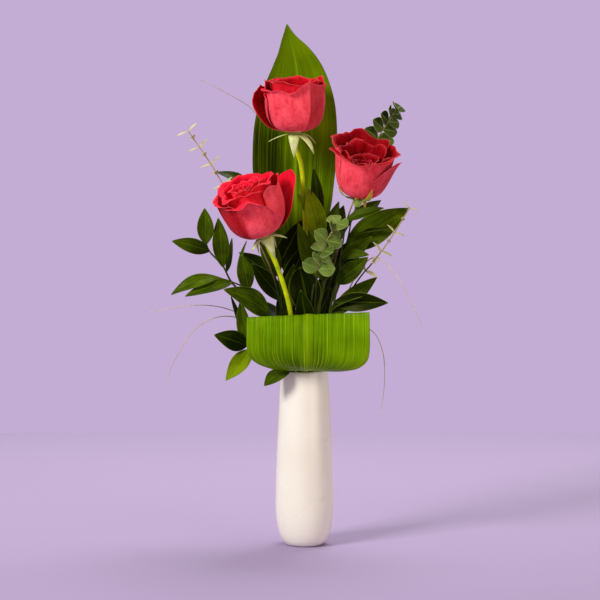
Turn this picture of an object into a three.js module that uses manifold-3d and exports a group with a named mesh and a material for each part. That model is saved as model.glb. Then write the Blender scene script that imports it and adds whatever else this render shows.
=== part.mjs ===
// Three red roses with mixed foliage in a slim white vase. Millimetres, +Z up, +X to the right.
// The origin is the centre of the vase's foot, and -Y is the front of the bouquet.
// Everything above the mouth is placed from the mouth's centre, so it rises and falls with the vase.

import * as THREE from "three";
import { mergeVertices } from "three/addons/utils/BufferGeometryUtils.js";
import Module from "manifold-3d";

const wasm = await Module();
wasm.setup();

// Vase
const vaseHeight = 185;
const mouthRadius = 24.7; // outside, at the lip
const bellyRadius = 30.8;
const bellyHeight = 42;
const footRadius = 17;
const vaseWall = 3.8;
const vaseFloor = 8;
const mouthInnerRadius = mouthRadius - vaseWall;

// Stems and blades
const clearance = 0.3; // between pieces that touch
const roseStemRadius = 2.6;
const twigRadius = 1.3;
const sprigRadius = 0.9;
const grassWidth = 1.8;
const grassThickness = 0.9;
const leafThickness = 0.9;
const petalThickness = 0.9;
const sepalThickness = 1.0;
const stemFootRadius = 20; // the cut ends spread out to this inside the vase

// Roses: what the three blooms share. The heart sits inside the inner petals, and they sit inside the outer ones.
const bloom = {
  heartRadius: 13.5,
  heartRise: 9,
  innerBase: 4.6,
  innerRise: 4.5, // the inner petals start this much above the outer ones
  innerBelly: 20,
  outerBase: 7.6,
  guardGap: 2.2 + 2 * petalThickness, // a guard petal stands this far outside the outer ones
  spiral: 2.1, // how far a petal's one edge stands out and the other tucks in
  hipRadius: 6,
  hipLength: 12,
};

const up = new THREE.Vector3(0, 0, 1);
const vec = (p) => new THREE.Vector3(...p);
const mix = THREE.MathUtils.lerp;
const rad = THREE.MathUtils.degToRad;
const clamp = THREE.MathUtils.clamp;
const smooth = (x) => THREE.MathUtils.smoothstep(x, 0, 1);

// ---- Shapes that more than one piece uses ----

// A closed shell round surface(u, v), with u from -1 to 1 across and v from 0 to 1 along.
function shell(surface, across, along, thickness) {
  const front = [];
  const back = [];
  const step = 1e-3;
  for (let j = 0; j <= along; j++) {
    for (let i = 0; i <= across; i++) {
      const u = -1 + (2 * i) / across;
      const v = j / along;
      const acrossIt = surface(Math.min(u + step, 1), v).sub(surface(Math.max(u - step, -1), v));
      const alongIt = surface(u, Math.min(v + step, 1)).sub(surface(u, Math.max(v - step, 0)));
      const normal = acrossIt.cross(alongIt).normalize();
      const half = (typeof thickness === "function" ? thickness(v) : thickness) / 2;
      front.push(surface(u, v).addScaledVector(normal, half));
      back.push(surface(u, v).addScaledVector(normal, -half));
    }
  }
  const at = (i, j) => j * (across + 1) + i;
  const under = front.length;
  const faces = [];
  for (let j = 0; j < along; j++) {
    for (let i = 0; i < across; i++) {
      const [a, b, c, d] = [at(i, j), at(i + 1, j), at(i + 1, j + 1), at(i, j + 1)];
      faces.push(a, b, c, a, c, d);
      faces.push(under + c, under + b, under + a, under + d, under + c, under + a);
    }
  }
  const edge = [];
  for (let i = 0; i < across; i++) edge.push(at(i, 0));
  for (let j = 0; j < along; j++) edge.push(at(across, j));
  for (let i = across; i > 0; i--) edge.push(at(i, along));
  for (let j = along; j > 0; j--) edge.push(at(0, j));
  edge.forEach((a, k) => {
    const b = edge[(k + 1) % edge.length];
    faces.push(b, a, under + a, b, under + a, under + b);
  });
  const points = [...front, ...back].flatMap((p) => p.toArray());
  return new THREE.BufferGeometry()
    .setAttribute("position", new THREE.Float32BufferAttribute(points, 3))
    .setIndex(faces);
}

// A round stem along a smooth curve.
function rod(points, radius, sides, steps) {
  const section = new THREE.Shape(
    Array.from({ length: sides }, (_, k) => {
      const a = (2 * Math.PI * k) / sides;
      return new THREE.Vector2(radius * Math.cos(a), radius * Math.sin(a));
    }),
  );
  const path = new THREE.CatmullRomCurve3(points.map(vec), false, "centripetal");
  return new THREE.ExtrudeGeometry(section, { steps, extrudePath: path, bevelEnabled: false });
}

function solid(geometry) {
  const plain = geometry.clone();
  plain.deleteAttribute("normal");
  plain.deleteAttribute("uv");
  const merged = mergeVertices(plain, 1e-3);
  return new wasm.Manifold(
    new wasm.Mesh({
      numProp: 3,
      vertProperties: new Float32Array(merged.attributes.position.array),
      triVerts: new Uint32Array(merged.index.array),
    }),
  );
}

function joined(geometries) {
  const whole = geometries.map(solid).reduce((a, b) => a.add(b));
  const mesh = whole.getMesh();
  return new THREE.BufferGeometry()
    .setAttribute("position", new THREE.Float32BufferAttribute(mesh.vertProperties, 3))
    .setIndex(new THREE.BufferAttribute(mesh.triVerts, 1));
}

function piece(name, geometry, material) {
  const mesh = new THREE.Mesh(geometry, material);
  mesh.name = name;
  return mesh;
}

function finish(color, roughness) {
  return new THREE.MeshStandardMaterial({ color, roughness, metalness: 0 });
}

const finishes = {
  glaze: finish(0xf4efe4, 0.18),
  petal: finish(0xc4122a, 0.6),
  calyx: finish(0xc9d68a, 0.55),
  roseStem: finish(0x8fa626, 0.5),
  broadLeaf: finish(0x4f7d10, 0.35),
  ruscus: finish(0x2c4a10, 0.35),
  eucalyptus: finish(0x7f9866, 0.6),
  grass: finish(0xb9a478, 0.6),
};

// ---- Vase ----

function bezier(p0, p1, p2, p3, t) {
  const s = 1 - t;
  return s * s * s * p0 + 3 * s * s * t * p1 + 3 * s * t * t * p2 + t * t * t * p3;
}

// The outside of the wall: a rounded foot, then a straight-sided body that narrows to the mouth.
function vaseOutline() {
  const footSteps = 6;
  const bodySteps = 3;
  const outline = [];
  for (let k = 0; k <= footSteps; k++) {
    const t = k / footSteps;
    outline.push([
      bezier(footRadius, footRadius + 7, bellyRadius, bellyRadius, t),
      bezier(0, 0.5, bellyHeight * 0.36, bellyHeight, t),
    ]);
  }
  for (let k = 1; k <= bodySteps; k++) {
    const t = k / bodySteps;
    outline.push([mix(bellyRadius, mouthRadius, t ** 1.5), mix(bellyHeight, vaseHeight, t)]);
  }
  return outline;
}

function vaseGeometry() {
  const outline = vaseOutline();
  const lip = vaseWall / 2;
  const outside = outline.map(([r, z]) => [r, Math.min(z, vaseHeight - lip)]);
  const lipSteps = 4;
  const roundLip = Array.from({ length: lipSteps - 1 }, (_, k) => {
    const a = (Math.PI * (k + 1)) / lipSteps;
    return [mouthRadius - lip + lip * Math.cos(a), vaseHeight - lip + lip * Math.sin(a)];
  });
  const inside = outline
    .filter(([, z]) => z > vaseFloor + 6)
    .map(([r, z]) => [r - vaseWall, Math.min(z, vaseHeight - lip)])
    .reverse();
  const floorEdge = [inside[inside.length - 1][0] - 6, vaseFloor];
  const profile = [[0, 0], ...outside, ...roundLip, ...inside, floorEdge, [0, vaseFloor]];
  const lathe = new THREE.LatheGeometry(
    profile.map(([r, z]) => new THREE.Vector2(r, z)),
    32,
  );
  return lathe.rotateX(Math.PI / 2); // the lathe turns about Y
}

// ---- Stems, from the vase's floor out through the mouth ----

// A stem's points: it stands at "seat" in the mouth, as a share of the free radius, and ends "depth" below it.
function stemPoints(seat, radius, depth, route) {
  const room = mouthInnerRadius - clearance - radius;
  const deepest = vaseHeight - vaseFloor - clearance - radius - 4;
  const share = Math.min(depth / deepest, 1);
  const radiusBelow = mix(room, stemFootRadius, share);
  const below = Math.min(depth, deepest);
  const foot = [seat[0] * radiusBelow, seat[1] * radiusBelow, -below];
  const mouth = [seat[0] * room, seat[1] * room, 0];
  const middle = [(foot[0] + mouth[0]) / 2, (foot[1] + mouth[1]) / 2, -below / 2];
  return [foot, middle, mouth, ...route];
}

// ---- Leaves ----

// A leaf from base to tip: its face looks along "face", "arch" lifts its middle that way, and "fold" raises its edges.
function leafSurface({ base, tip, width, face = [0, -1, 0.25], arch = 0, fold = 0.25, blunt = 0 }) {
  const start = vec(base);
  const end = vec(tip);
  const length = start.distanceTo(end);
  const ahead = end.clone().sub(start).normalize();
  const out = vec(face);
  out.addScaledVector(ahead, -out.dot(ahead)).normalize();
  const side = out.clone().cross(ahead).negate().normalize();
  const stalk = 1.0;
  const point = 0.35;
  return (u, v) => {
    const outline = Math.sin(Math.PI * v ** mix(0.86, 1.0, blunt)) ** mix(0.85, 0.6, blunt);
    const half = Math.max((width / 2) * outline, mix(stalk, point, v));
    return start
      .clone()
      .addScaledVector(ahead, length * v)
      .addScaledVector(side, half * u)
      .addScaledVector(out, 4 * arch * v * (1 - v) + fold * half * Math.abs(u));
  };
}

function leaf(shape) {
  return shell(leafSurface(shape), shape.columns ?? 2, shape.rows ?? 5, leafThickness);
}

function branch({ seat, depth, radius = twigRadius, route, leaves }) {
  const points = stemPoints(seat, radius, depth, route);
  const stem = rod(points, radius, 5, points.length * 2);
  const along = new THREE.CatmullRomCurve3(points.map(vec), false, "centripetal").getSpacedPoints(400);
  const onTwig = (base) => {
    const spot = vec(base);
    return along.reduce((a, b) => (b.distanceTo(spot) < a.distanceTo(spot) ? b : a)).toArray();
  };
  return joined([stem, ...leaves.map((one) => leaf({ ...one, base: onTwig(one.base) }))]); // a leaf grows from the twig
}

// A point "out" past the outside of the lip, "turn" degrees round it and "rise" above it.
function pastLip(turn, out, rise) {
  return [(mouthRadius + out) * Math.cos(rad(turn)), (mouthRadius + out) * Math.sin(rad(turn)), rise];
}

// Ruscus: woody twigs with stiff pointed leaves
const ruscus = {
  ruscus_left_upper: {
    seat: [-0.92, -0.1],
    depth: 90,
    route: [[-40, -6, 58], [-76, -10, 93], [-85, -11, 110], [-100, -12, 127], [-103, -12, 136]],
    leaves: [
      { base: [-102.6, -12, 133], tip: [-104, -14, 171], width: 18, arch: 2 },
      { base: [-99, -12, 126], tip: [-138, -22, 137], width: 17, arch: 3 },
      { base: [-85, -11, 109], tip: [-90, -12, 161], width: 18, arch: 3 },
      { base: [-82, -10.5, 104], tip: [-76, 4, 139], width: 13, face: [0.9, -0.4, 0.2] },
    ],
  },
  ruscus_left_middle: {
    seat: [-0.75, -0.42],
    depth: 110,
    route: [[-30, -11, 48], [-52, -17, 82], [-75, -20, 94], [-90, -21, 99]],
    leaves: [
      { base: [-88, -21, 98.5], tip: [-139, -27, 81], width: 17, arch: 7, face: [0, -0.7, 0.7] },
      { base: [-74, -20, 94], tip: [-124, -34, 80], width: 16, arch: 4, face: [0.1, -0.8, 0.6] },
      { base: [-58, -18, 86], tip: [-66, -20, 123], width: 18, arch: 2 },
      { base: [-66, -19, 91], tip: [-60, -6, 137], width: 12, face: [-0.9, -0.5, 0.1], arch: 4 },
      { base: [-36, -12.5, 59], tip: [-84, -42, 88], width: 26, arch: 5, face: [0.1, -0.8, 0.6] },
    ],
  },
  ruscus_left_lower: {
    seat: [-0.62, -0.66],
    depth: 70,
    route: [[-30, -10.5, 17], [-54, -12, 22], [-63, -13, 30]],
    leaves: [
      { base: [-61, -12.8, 28], tip: [-67, -22, 75], width: 15, arch: 2 },
      { base: [-60, -12.8, 27], tip: [-94, -32, 40], width: 22, arch: 3 },
      { base: [-56, -12.2, 23], tip: [-82, -30, -8], width: 19, arch: 4 },
      { base: [-60, -12.8, 27], tip: [-77, -10, 79], width: 12, face: [0.8, -0.6, 0.1] },
    ],
  },
  ruscus_front_low: {
    seat: [-0.28, -0.93],
    depth: 50,
    route: [pastLip(-126.1, -1.8, 2.2), pastLip(-127.7, 3.1, 0.5)],
    leaves: [{ base: pastLip(-127.3, 1.7, 1), tip: pastLip(-140.2, 30, -13), width: 21, arch: 3, face: [-0.3, -0.7, 0.7] }],
  },
  ruscus_right_upper: {
    seat: [0.93, 0.1],
    depth: 90,
    route: [[28, 0, 70], [40, -6, 120], [46, -7, 142], [49, -7, 160]],
    leaves: [
      { base: [48.7, -7, 158], tip: [80.5, 9, 178.5], width: 15, face: [0.2, -0.7, 0.7] },
      { base: [42, -6.5, 127], tip: [108, -14, 171], width: 33, arch: 4 },
      { base: [45.6, -7, 140], tip: [84.5, -28, 149], width: 14, face: [0, -0.25, 1], arch: 2 },
      { base: [38, -5, 112], tip: [70, -26, 142], width: 18, arch: 2 },
    ],
  },
  ruscus_right_lower: {
    seat: [0.72, -0.5],
    depth: 110,
    route: [[24, -12, 48], [32, -16, 78], [36, -18, 108], [38, -19, 122], [41, -23, 144], [43, -31, 160]],
    leaves: [
      { base: [42.8, -30.4, 159], tip: [82, -43, 172], width: 13, arch: 2, face: [0, -0.8, 0.6] },
      { base: [37.6, -18.9, 120], tip: [67, -31, 123], width: 14, arch: 3, face: [0, -0.8, 0.6] },
      { base: [34, -17, 92], tip: [66, -34, 121], width: 20, arch: 2 },
      { base: [30, -15, 72], tip: [87, -30, 73], width: 21, arch: 4 },
      { base: [27, -13.5, 58], tip: [76, -12, 99], width: 19, arch: 3 },
      { base: [27.4, -13.7, 62], tip: [60, -36, 80], width: 11, face: [0, -0.2, 1], arch: 2 },
    ],
  },
  ruscus_centre: {
    seat: [0.12, -0.5],
    depth: 100,
    route: [[5, -9, 45], [8, -10, 80], [14, -12, 110], [18, -14, 134], [17, -15, 162]],
    leaves: [
      { base: [17.8, -14, 132], tip: [4, -18, 192], width: 22, arch: 3, blunt: 0.4 },
      { base: [11.5, -11, 96], tip: [-7, -19, 156], width: 17, arch: 3 },
      { base: [6.2, -9.4, 60], tip: [-5, -18, 110], width: 35, arch: -5, blunt: 0.8 },
      { base: [16, -12.8, 122], tip: [36, -8, 178], width: 17, arch: 2 },
      { base: [17.4, -14.8, 156], tip: [-8, -21, 186], width: 13 },
      { base: [17, -15, 160], tip: [9, -17, 214], width: 13, arch: 2 },
      { base: [12, -11.3, 100], tip: [31, -27, 114], width: 20, arch: 1 },
      { base: [4.4, -8.9, 38], tip: [-4, -17, 86], width: 20 },
    ],
  },
  ruscus_left_behind: {
    seat: [-0.55, 0.22],
    depth: 90,
    route: [[-20, 6, 60], [-30, 8, 110], [-45, 8, 160], [-57, 6, 195]],
    leaves: [
      { base: [-56.5, 6, 193.6], tip: [-92.5, 8, 208], width: 14, arch: 3, face: [0, -0.7, 0.7] },
      { base: [-45, 8, 160], tip: [-74, 12, 196], width: 19 },
      { base: [-27, 7.6, 98], tip: [-46, 6, 148], width: 20 },
      { base: [-29, 8, 106], tip: [-2, 17, 158], width: 22 },
      { base: [-23, 6.9, 78], tip: [2, 4, 134], width: 20 },
      { base: [-22, 6.6, 72], tip: [-56, 14, 112], width: 20 },
      { base: [-19.6, 6, 58], tip: [-11, 0, 112], width: 18 },
    ],
  },
  ruscus_back_left: {
    seat: [-0.66, 0.6],
    depth: 80,
    route: [[-20, 22, 45], [-30, 32, 90], [-34, 40, 135]],
    leaves: [
      { base: [-21, 23, 52], tip: [-60, 42, 66], width: 20, arch: 4, face: [-0.2, 0.8, 0.6] },
      { base: [-26, 28, 72], tip: [-10, 52, 108], width: 19, arch: 3, face: [0, 1, 0.2] },
      { base: [-30, 32, 92], tip: [-70, 44, 122], width: 21, arch: 4, face: [-0.2, 0.9, 0.4] },
      { base: [-32, 36, 112], tip: [-14, 54, 150], width: 18, arch: 3, face: [0, 1, 0.2] },
      { base: [-34, 39.6, 133], tip: [-46, 52, 178], width: 20, arch: 3, face: [0, 1, 0.2] },
      { base: [-16, 17, 20], tip: [-44, 52, 6], width: 20, arch: 6, face: [-0.2, 0.5, 0.9] },
      { base: [-18, 19, 32], tip: [-22, 10, 92], width: 22 },
    ],
  },
  ruscus_back_right: {
    seat: [0.0, 0.9],
    depth: 80,
    route: [[6, 24, 40], [20, 32, 86], [28, 38, 130]],
    leaves: [
      { base: [8, 25, 48], tip: [46, 44, 62], width: 20, arch: 4, face: [0.2, 0.8, 0.6] },
      { base: [14, 29, 68], tip: [2, 54, 104], width: 18, arch: 3, face: [0, 1, 0.2] },
      { base: [20, 32, 86], tip: [60, 42, 112], width: 21, arch: 4, face: [0.2, 0.9, 0.4] },
      { base: [24, 35, 108], tip: [10, 56, 148], width: 18, arch: 3, face: [0, 1, 0.2] },
      { base: [28, 37.6, 128], tip: [42, 48, 172], width: 20, arch: 3, face: [0, 1, 0.2] },
      { base: [3, 21, 20], tip: [26, 56, 8], width: 20, arch: 6, face: [0.2, 0.5, 0.9] },
      { base: [5, 23, 34], tip: [28, 20, 86], width: 24, arch: 2 },
      { base: [9, 26, 52], tip: [40, 20, 120], width: 25 },
      { base: [18, 31, 80], tip: [52, 14, 140], width: 20 },
      { base: [11, 27, 58], tip: [-10, 32, 116], width: 24, arch: -2 },
    ],
  },
};

// Eucalyptus: thin sprigs with leaves in pairs, each pair turned "twist" degrees against the last.
// "facing" is 0 where the leaves lie across the stem and 1 where they look to the front.
function pairedLeaves({ pairs, length, width, taper = 0, sweep = 0.25, twist = 90, facing, blunt = 0.5 }) {
  const front = vec([0.1, -1, 0.25]);
  return pairs.flatMap((at, k) => {
    const next = vec(pairs[Math.min(k + 1, pairs.length - 1)]);
    const before = vec(pairs[Math.max(k - 1, 0)]);
    const ahead = next.sub(before).normalize();
    const across = front.clone().cross(ahead).normalize().applyAxisAngle(ahead, rad(twist * k));
    const size = 1 - (taper * k) / pairs.length;
    return [-1, 1].map((sign) => {
      const way = across.clone().multiplyScalar(sign).addScaledVector(ahead, sweep).normalize();
      return {
        base: at,
        tip: vec(at).addScaledVector(way, length * size).toArray(),
        width: width * size,
        face: ahead.clone().lerp(front, facing).toArray(),
        fold: 0.1,
        blunt,
        columns: 1,
        rows: 3,
      };
    });
  });
}

const eucalyptus = {
  eucalyptus_left: {
    seat: [-0.9, 0.26],
    depth: 60,
    route: [[-30, -2, 90], [-56, -9, 150], [-84, -12, 194], [-97, -12, 216], [-121, -11, 251]],
    pairs: [
      [-84, -12, 194], [-91.6, -12.2, 206], [-97, -12, 216], [-103.3, -11.8, 225], [-109, -11.6, 233.6],
      [-115.3, -11.3, 242.6], [-120.4, -11, 250],
    ],
    length: 13,
    width: 5,
    facing: 0.3,
  },
  eucalyptus_right_tall: {
    seat: [0.68, -0.02],
    depth: 60,
    route: [[24, 4, 80], [42, 8, 150], [62, 9, 205], [74, 6, 238], [96, 2, 274]],
    pairs: [[68, 7.6, 222], [72, 6.6, 232], [76.5, 5.7, 242.5], [82, 4.7, 252.5], [87, 3.6, 260.4], [91.6, 2.8, 267.6], [95.6, 2, 273.4]],
    length: 21,
    width: 19,
    taper: 0.15,
    twist: 14,
    facing: 0.85,
    blunt: 0.3,
  },
  eucalyptus_centre: {
    seat: [0.42, -0.6],
    depth: 70,
    route: [[9, -15, 48], [11, -22, 72], [13, -31, 100], [16, -35, 118], [23, -38, 138], [34, -38, 156]],
    pairs: [[14, -33, 108], [15.8, -35, 117], [18.6, -36.6, 127], [23, -38, 138], [28.7, -38.3, 148], [33.6, -38, 155.4]],
    length: 18,
    width: 19,
    taper: 0.15,
    twist: 63,
    facing: 0.8,
    blunt: 1,
  },
  eucalyptus_right_thin: {
    seat: [0.9, -0.26],
    depth: 60,
    route: [[26, -2, 40], [44, -3, 75], [52, -4, 89], [61, -19, 103], [70, -28, 114], [89, -31, 140], [109, -29, 172]],
    pairs: [
      [63.5, -21.8, 106], [71, -28.4, 115.4], [79, -30.5, 126.6], [86, -31, 136], [93, -31, 146],
      [101, -30.2, 158.6], [108.4, -29, 171],
    ],
    length: 14,
    width: 6,
    taper: 0.35,
    facing: 0.3,
    blunt: 0.3,
  },
};

// Bear grass: long thin blades that arch out of the bouquet
const grass = {
  grass_left_high: {
    seat: [-0.34, 0.93],
    route: [[-12, 33, 90], [-20, 40, 190], [-50, 38, 268], [-84, 20, 292], [-110, 6, 305]],
  },
  grass_left_middle: {
    seat: [-0.9, 0.08],
    route: [[-46, 2, 44], [-74, 1, 62], [-100, -10, 69], [-124, -18, 69], [-162, -24, 63]],
  },
  grass_left_low: {
    seat: [-0.86, -0.28],
    route: [
      [-46, -4, 42], [-72, -3, 56], [-95, -14, 56], [-114, -22, 45], [-127, -24, 27], [-138, -25, 7],
      [-145, -26, -15],
    ],
  },
  grass_right_high: {
    seat: [0.98, -0.06],
    route: [
      [42, -7, 75], [62, -12, 112], [74, -16, 120], [87, -20, 111], [101, -24, 93], [111, -26, 73],
      [120, -28, 54], [122, -28, 44],
    ],
  },
  grass_right_low: {
    seat: [0.86, -0.42],
    route: [[40, -11, 36], [62, -10, 46], [74, -10, 39], [82, -12, 20], [84, -14, -4], [82, -15, -28], [77, -16, -50]],
  },
};

function grassBlade({ seat, route }) {
  const section = new THREE.Shape([
    new THREE.Vector2(-grassWidth / 2, 0),
    new THREE.Vector2(0, -grassThickness / 2),
    new THREE.Vector2(grassWidth / 2, 0),
    new THREE.Vector2(0, grassThickness / 2),
  ]);
  const points = stemPoints(seat, grassWidth / 2, 60, route);
  const path = new THREE.CatmullRomCurve3(points.map(vec), false, "centripetal");
  return new THREE.ExtrudeGeometry(section, { steps: 22, extrudePath: path, bevelEnabled: false });
}

// ---- The two broad leaves ----

// The value at x between stops of [x, value].
function through(stops, x) {
  const k = clamp(stops.findIndex(([at]) => at >= x), 1, stops.length - 1);
  const [x0, a] = stops[k - 1];
  const [x1, b] = stops[k];
  return mix(a, b, clamp((x - x0) / (x1 - x0), 0, 1));
}

// Half widths and thicknesses go with the height above the mouth.
const tallLeaf = {
  seat: [-0.3, 0.72],
  depth: 120,
  route: [
    [-6, 17, 60], [-9, 22, 130], [-11, 26, 205], [-9.7, 28, 245], [-7.6, 28, 285], [-8.2, 26, 312],
    [-11.3, 23.5, 331], [-15.8, 20.5, 347], [-18.4, 18, 363],
  ],
  halfWidth: [
    [60, 2.4], [90, 8], [130, 26], [170, 39], [210, 44], [245, 44.6], [265, 43], [285, 39.5], [306, 32.5],
    [326, 23], [336, 16.3], [346, 9], [357, 3.2], [363, 0.5],
  ],
  thickness: [[60, 3.6], [110, 1.4], [363, 1.0]],
  cup: 0.16, // how far the edges come forward, as a share of the half width
};

function tallLeafGeometry() {
  const points = stemPoints(tallLeaf.seat, 2.4, tallLeaf.depth, tallLeaf.route);
  const spine = new THREE.CatmullRomCurve3(points.map(vec), false, "centripetal");
  const surface = (u, v) => {
    const at = spine.getPointAt(v);
    const half = through(tallLeaf.halfWidth, at.z);
    const side = spine.getTangentAt(v).cross(new THREE.Vector3(0, 1, 0)).normalize();
    return at.addScaledVector(side, -half * u).add(new THREE.Vector3(0, -tallLeaf.cup * half * u * u, 0));
  };
  return shell(surface, 4, 26, (v) => through(tallLeaf.thickness, spine.getPointAt(v).z));
}

// The second broad leaf leaves the mouth over the front of the lip, widens, and is rolled up towards the bouquet.
const rolledLeaf = {
  seat: [0, -0.99],
  depth: 45,
  shift: 3.7, // the roll sits this much to the right
  middle: 37, // its height
  route: [
    [-20.4, 1.9, 4], [-25, 2.4, 10], [-32, 2.6, 27], [-40, 4.5, 39], [-48.5, 9.5, 53], [-54.5, 18, 61.5],
    [-57, 30, 63.5], [-56, 43, 63.5], [-50.5, 54.5, 63.5], [-41, 61, 63.5], [-30, 59, 63.5],
    [-23.5, 50, 63.5], [-22, 38, 63.5], [-26, 25.5, 63.5], [-35, 21, 63.5], [-44.5, 26, 63.5],
    [-48.5, 37, 63.5], [-44, 47.5, 58], [-35, 50, 30],
  ], // y, z and half width
  thickness: [[0, 2.6], [4, 2.4], [24, 1.4], [63.5, 1.1]], // by half width
  flare: 0.11, // the right end of the roll is this much deeper than its middle
};

function rolledLeafGeometry() {
  const { seat, depth, route, thickness, middle, flare, shift } = rolledLeaf;
  const petiole = stemPoints(seat, 1.6, depth, []).map(([, y, z]) => [2, y, z]);
  const widest = Math.max(...route.map(([, , half]) => half));
  const path = [...petiole, ...route.map(([y, z, half]) => [half, y, z])];
  const spine = new THREE.CatmullRomCurve3(path.map(vec), false, "centripetal"); // its x is the half width
  const surface = (u, v) => {
    const { x: half, y, z } = spine.getPointAt(v);
    const rolled = smooth(half / widest);
    const across = (half * u) / widest;
    const grow = 1 + flare * rolled * across;
    return new THREE.Vector3(half * u + shift * rolled, y * mix(1, grow, 0.3), middle + (z - middle) * grow);
  };
  return shell(surface, 4, 44, (v) => through(thickness, spine.getPointAt(v).x));
}

// ---- Roses ----

// Each rose: where its bloom starts, the way it looks, its stem, its cup, its petals and its sepals.
// A petal is centred "turn" degrees round the bloom and spans "span" each way. "open" is how far its rim leans out,
// "tall" scales its height, and "point" brings its rim to a point. A guard petal stands outside the others.
const roses = {
  rose_top: {
    at: [-9.5, -16, 251],
    towards: [-0.01, -0.14, 1],
    stem: { seat: [-0.1, -0.08], depth: 170, route: [[1, -5, 90], [0.5, -8, 160], [-4, -13, 218]] },
    cup: { height: 51, belly: 29.5, rim: 30.5, innerHeight: 45 },
    outer: [
      { turn: -143, span: 60 },
      { turn: -38, span: 57 },
      { turn: 62, span: 58, tall: 1.03 },
      { turn: 150, span: 57 },
    ],
    guards: [{ turn: 166, span: 40, open: 12, tall: 0.95 }],
    sepals: [
      { turn: -100, length: 27, width: 12 },
      { turn: -50, length: 27, width: 9, splay: 6 },
      { turn: 20, length: 20, width: 4, splay: 8 },
      { turn: 95, length: 24, width: 6, splay: 3 },
      { turn: 185, length: 18, width: 4, splay: 12 },
    ],
  },
  rose_right: {
    at: [56, -26, 184],
    towards: [0.12, -0.3, 0.95],
    stem: { seat: [0.36, -0.14], depth: 170, route: [[13, -5, 60], [25, -8, 110], [42, -17, 150]] },
    cup: { height: 55, belly: 26.5, rim: 34, innerHeight: 49 },
    outer: [
      { turn: -100, span: 60 },
      { turn: -2, span: 56 },
      { turn: 92, span: 58, tall: 1.06 },
      { turn: 180, span: 52 },
    ],
    guards: [{ turn: -20, span: 40, open: 9, tall: 0.8, point: 1 }],
    sepals: [
      { turn: -165, length: 20, width: 7, hug: true },
      { turn: -92, length: 12, width: 4, hug: true },
      { turn: -62, length: 30, width: 7, hug: true },
      { turn: 60, length: 24, width: 6, splay: 5 },
      { turn: 130, length: 24, width: 6, hug: true },
    ],
  },
  rose_left: {
    at: [-42.5, -44, 145],
    towards: [-0.32, -0.26, 0.92],
    stem: { seat: [-0.42, -0.32], depth: 170, route: [[-13, -17, 52], [-19, -27, 82], [-31, -38, 118]] },
    cup: { height: 52, belly: 31, rim: 34, innerHeight: 49 },
    outer: [
      { turn: -75, span: 60 },
      { turn: 36, span: 58 },
      { turn: 132, span: 55 },
      { turn: 190, span: 50 },
    ],
    guards: [{ turn: 24, span: 38, open: 13, tall: 1.12 }],
    sepals: [
      { turn: -68, length: 26, width: 12 },
      { turn: -10, length: 16, width: 6, splay: 8 },
      { turn: 60, length: 24, width: 6, splay: 3 },
      { turn: 140, length: 24, width: 6, splay: 3 },
      { turn: 215, length: 14, width: 6, splay: 6 },
    ],
  },
};
const innerPetals = [-130, -10, 110].map((turn) => ({ turn, span: 74 }));

// A petal is part of a cup: it rises from its base, bulges to the belly and ends at the rim.
function petal({ turn, span, open = 0, tall = 1, point = 0 }, { base, rise, belly, rim, height, spiral }) {
  const drop = mix(0.16, 0.45, point); // the corners of the rim are this much lower
  const surface = (u, v) => {
    const t = v * (1 - drop * Math.abs(u) ** mix(3, 1.4, point));
    const lean = open * t * t;
    const r = bezier(base, belly * 1.06, belly, rim, t) + lean + spiral * u * smooth(3 * t);
    const z = rise + bezier(0, height * 0.04, height * 0.6, height, t) * tall - 0.25 * lean;
    const a = rad(turn + span * u * mix(0.42, 1, smooth(1.6 * t)));
    return new THREE.Vector3(r * Math.cos(a), r * Math.sin(a), z);
  };
  return shell(surface, 5, 5, petalThickness);
}

// The tight bud in the middle of the bloom
function heartGeometry({ height }) {
  const steps = 8;
  const profile = Array.from({ length: steps + 1 }, (_, k) => {
    const t = k / steps;
    const r = bloom.heartRadius * Math.sin(Math.PI * t) ** 0.6 * mix(1.05, 0.9, t);
    return new THREE.Vector2(k % steps ? r : 0, mix(bloom.heartRise, height - 4, t));
  });
  return new THREE.LatheGeometry(profile, 14).rotateX(Math.PI / 2);
}

// A sepal that hugs the petals follows the outside of the cup, and one that doesn't hangs beside the hip.
function sepal({ turn, length, width, splay = 0, hug = false }, { belly }) {
  const a = rad(turn);
  const out = new THREE.Vector3(Math.cos(a), Math.sin(a), 0);
  const side = new THREE.Vector3(-Math.sin(a), Math.cos(a), 0);
  const reach = hug ? [4, belly * 0.6, belly, belly + 1 + length * 0.12] : [4, 12, 12 + splay, 10 + splay * 1.5];
  const lift = hug ? [-3.2, -4.5, -1, length * 0.62] : [-3, -2, -8, splay * 0.6 - length];
  const surface = (u, v) => {
    const half = Math.max((width / 2) * Math.sin(Math.PI * mix(0.28, 1, v)) ** 0.8, 0.4);
    return out
      .clone()
      .multiplyScalar(bezier(...reach, v))
      .addScaledVector(side, half * u)
      .addScaledVector(up, bezier(...lift, v));
  };
  return shell(surface, 2, 4, sepalThickness);
}

// The hip under the bloom, with its five sepals
function calyxGeometry({ sepals, cup }) {
  const { hipRadius, hipLength } = bloom;
  const profile = [[0, -hipLength], [3.2, -hipLength], [5, -8], [hipRadius, -4], [hipRadius, 2.5], [0, 2.5]];
  const hip = new THREE.LatheGeometry(profile.map(([r, z]) => new THREE.Vector2(r, z)), 12);
  hip.rotateX(Math.PI / 2);
  return joined([hip, ...sepals.map((shape) => sepal(shape, cup))]);
}

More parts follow.
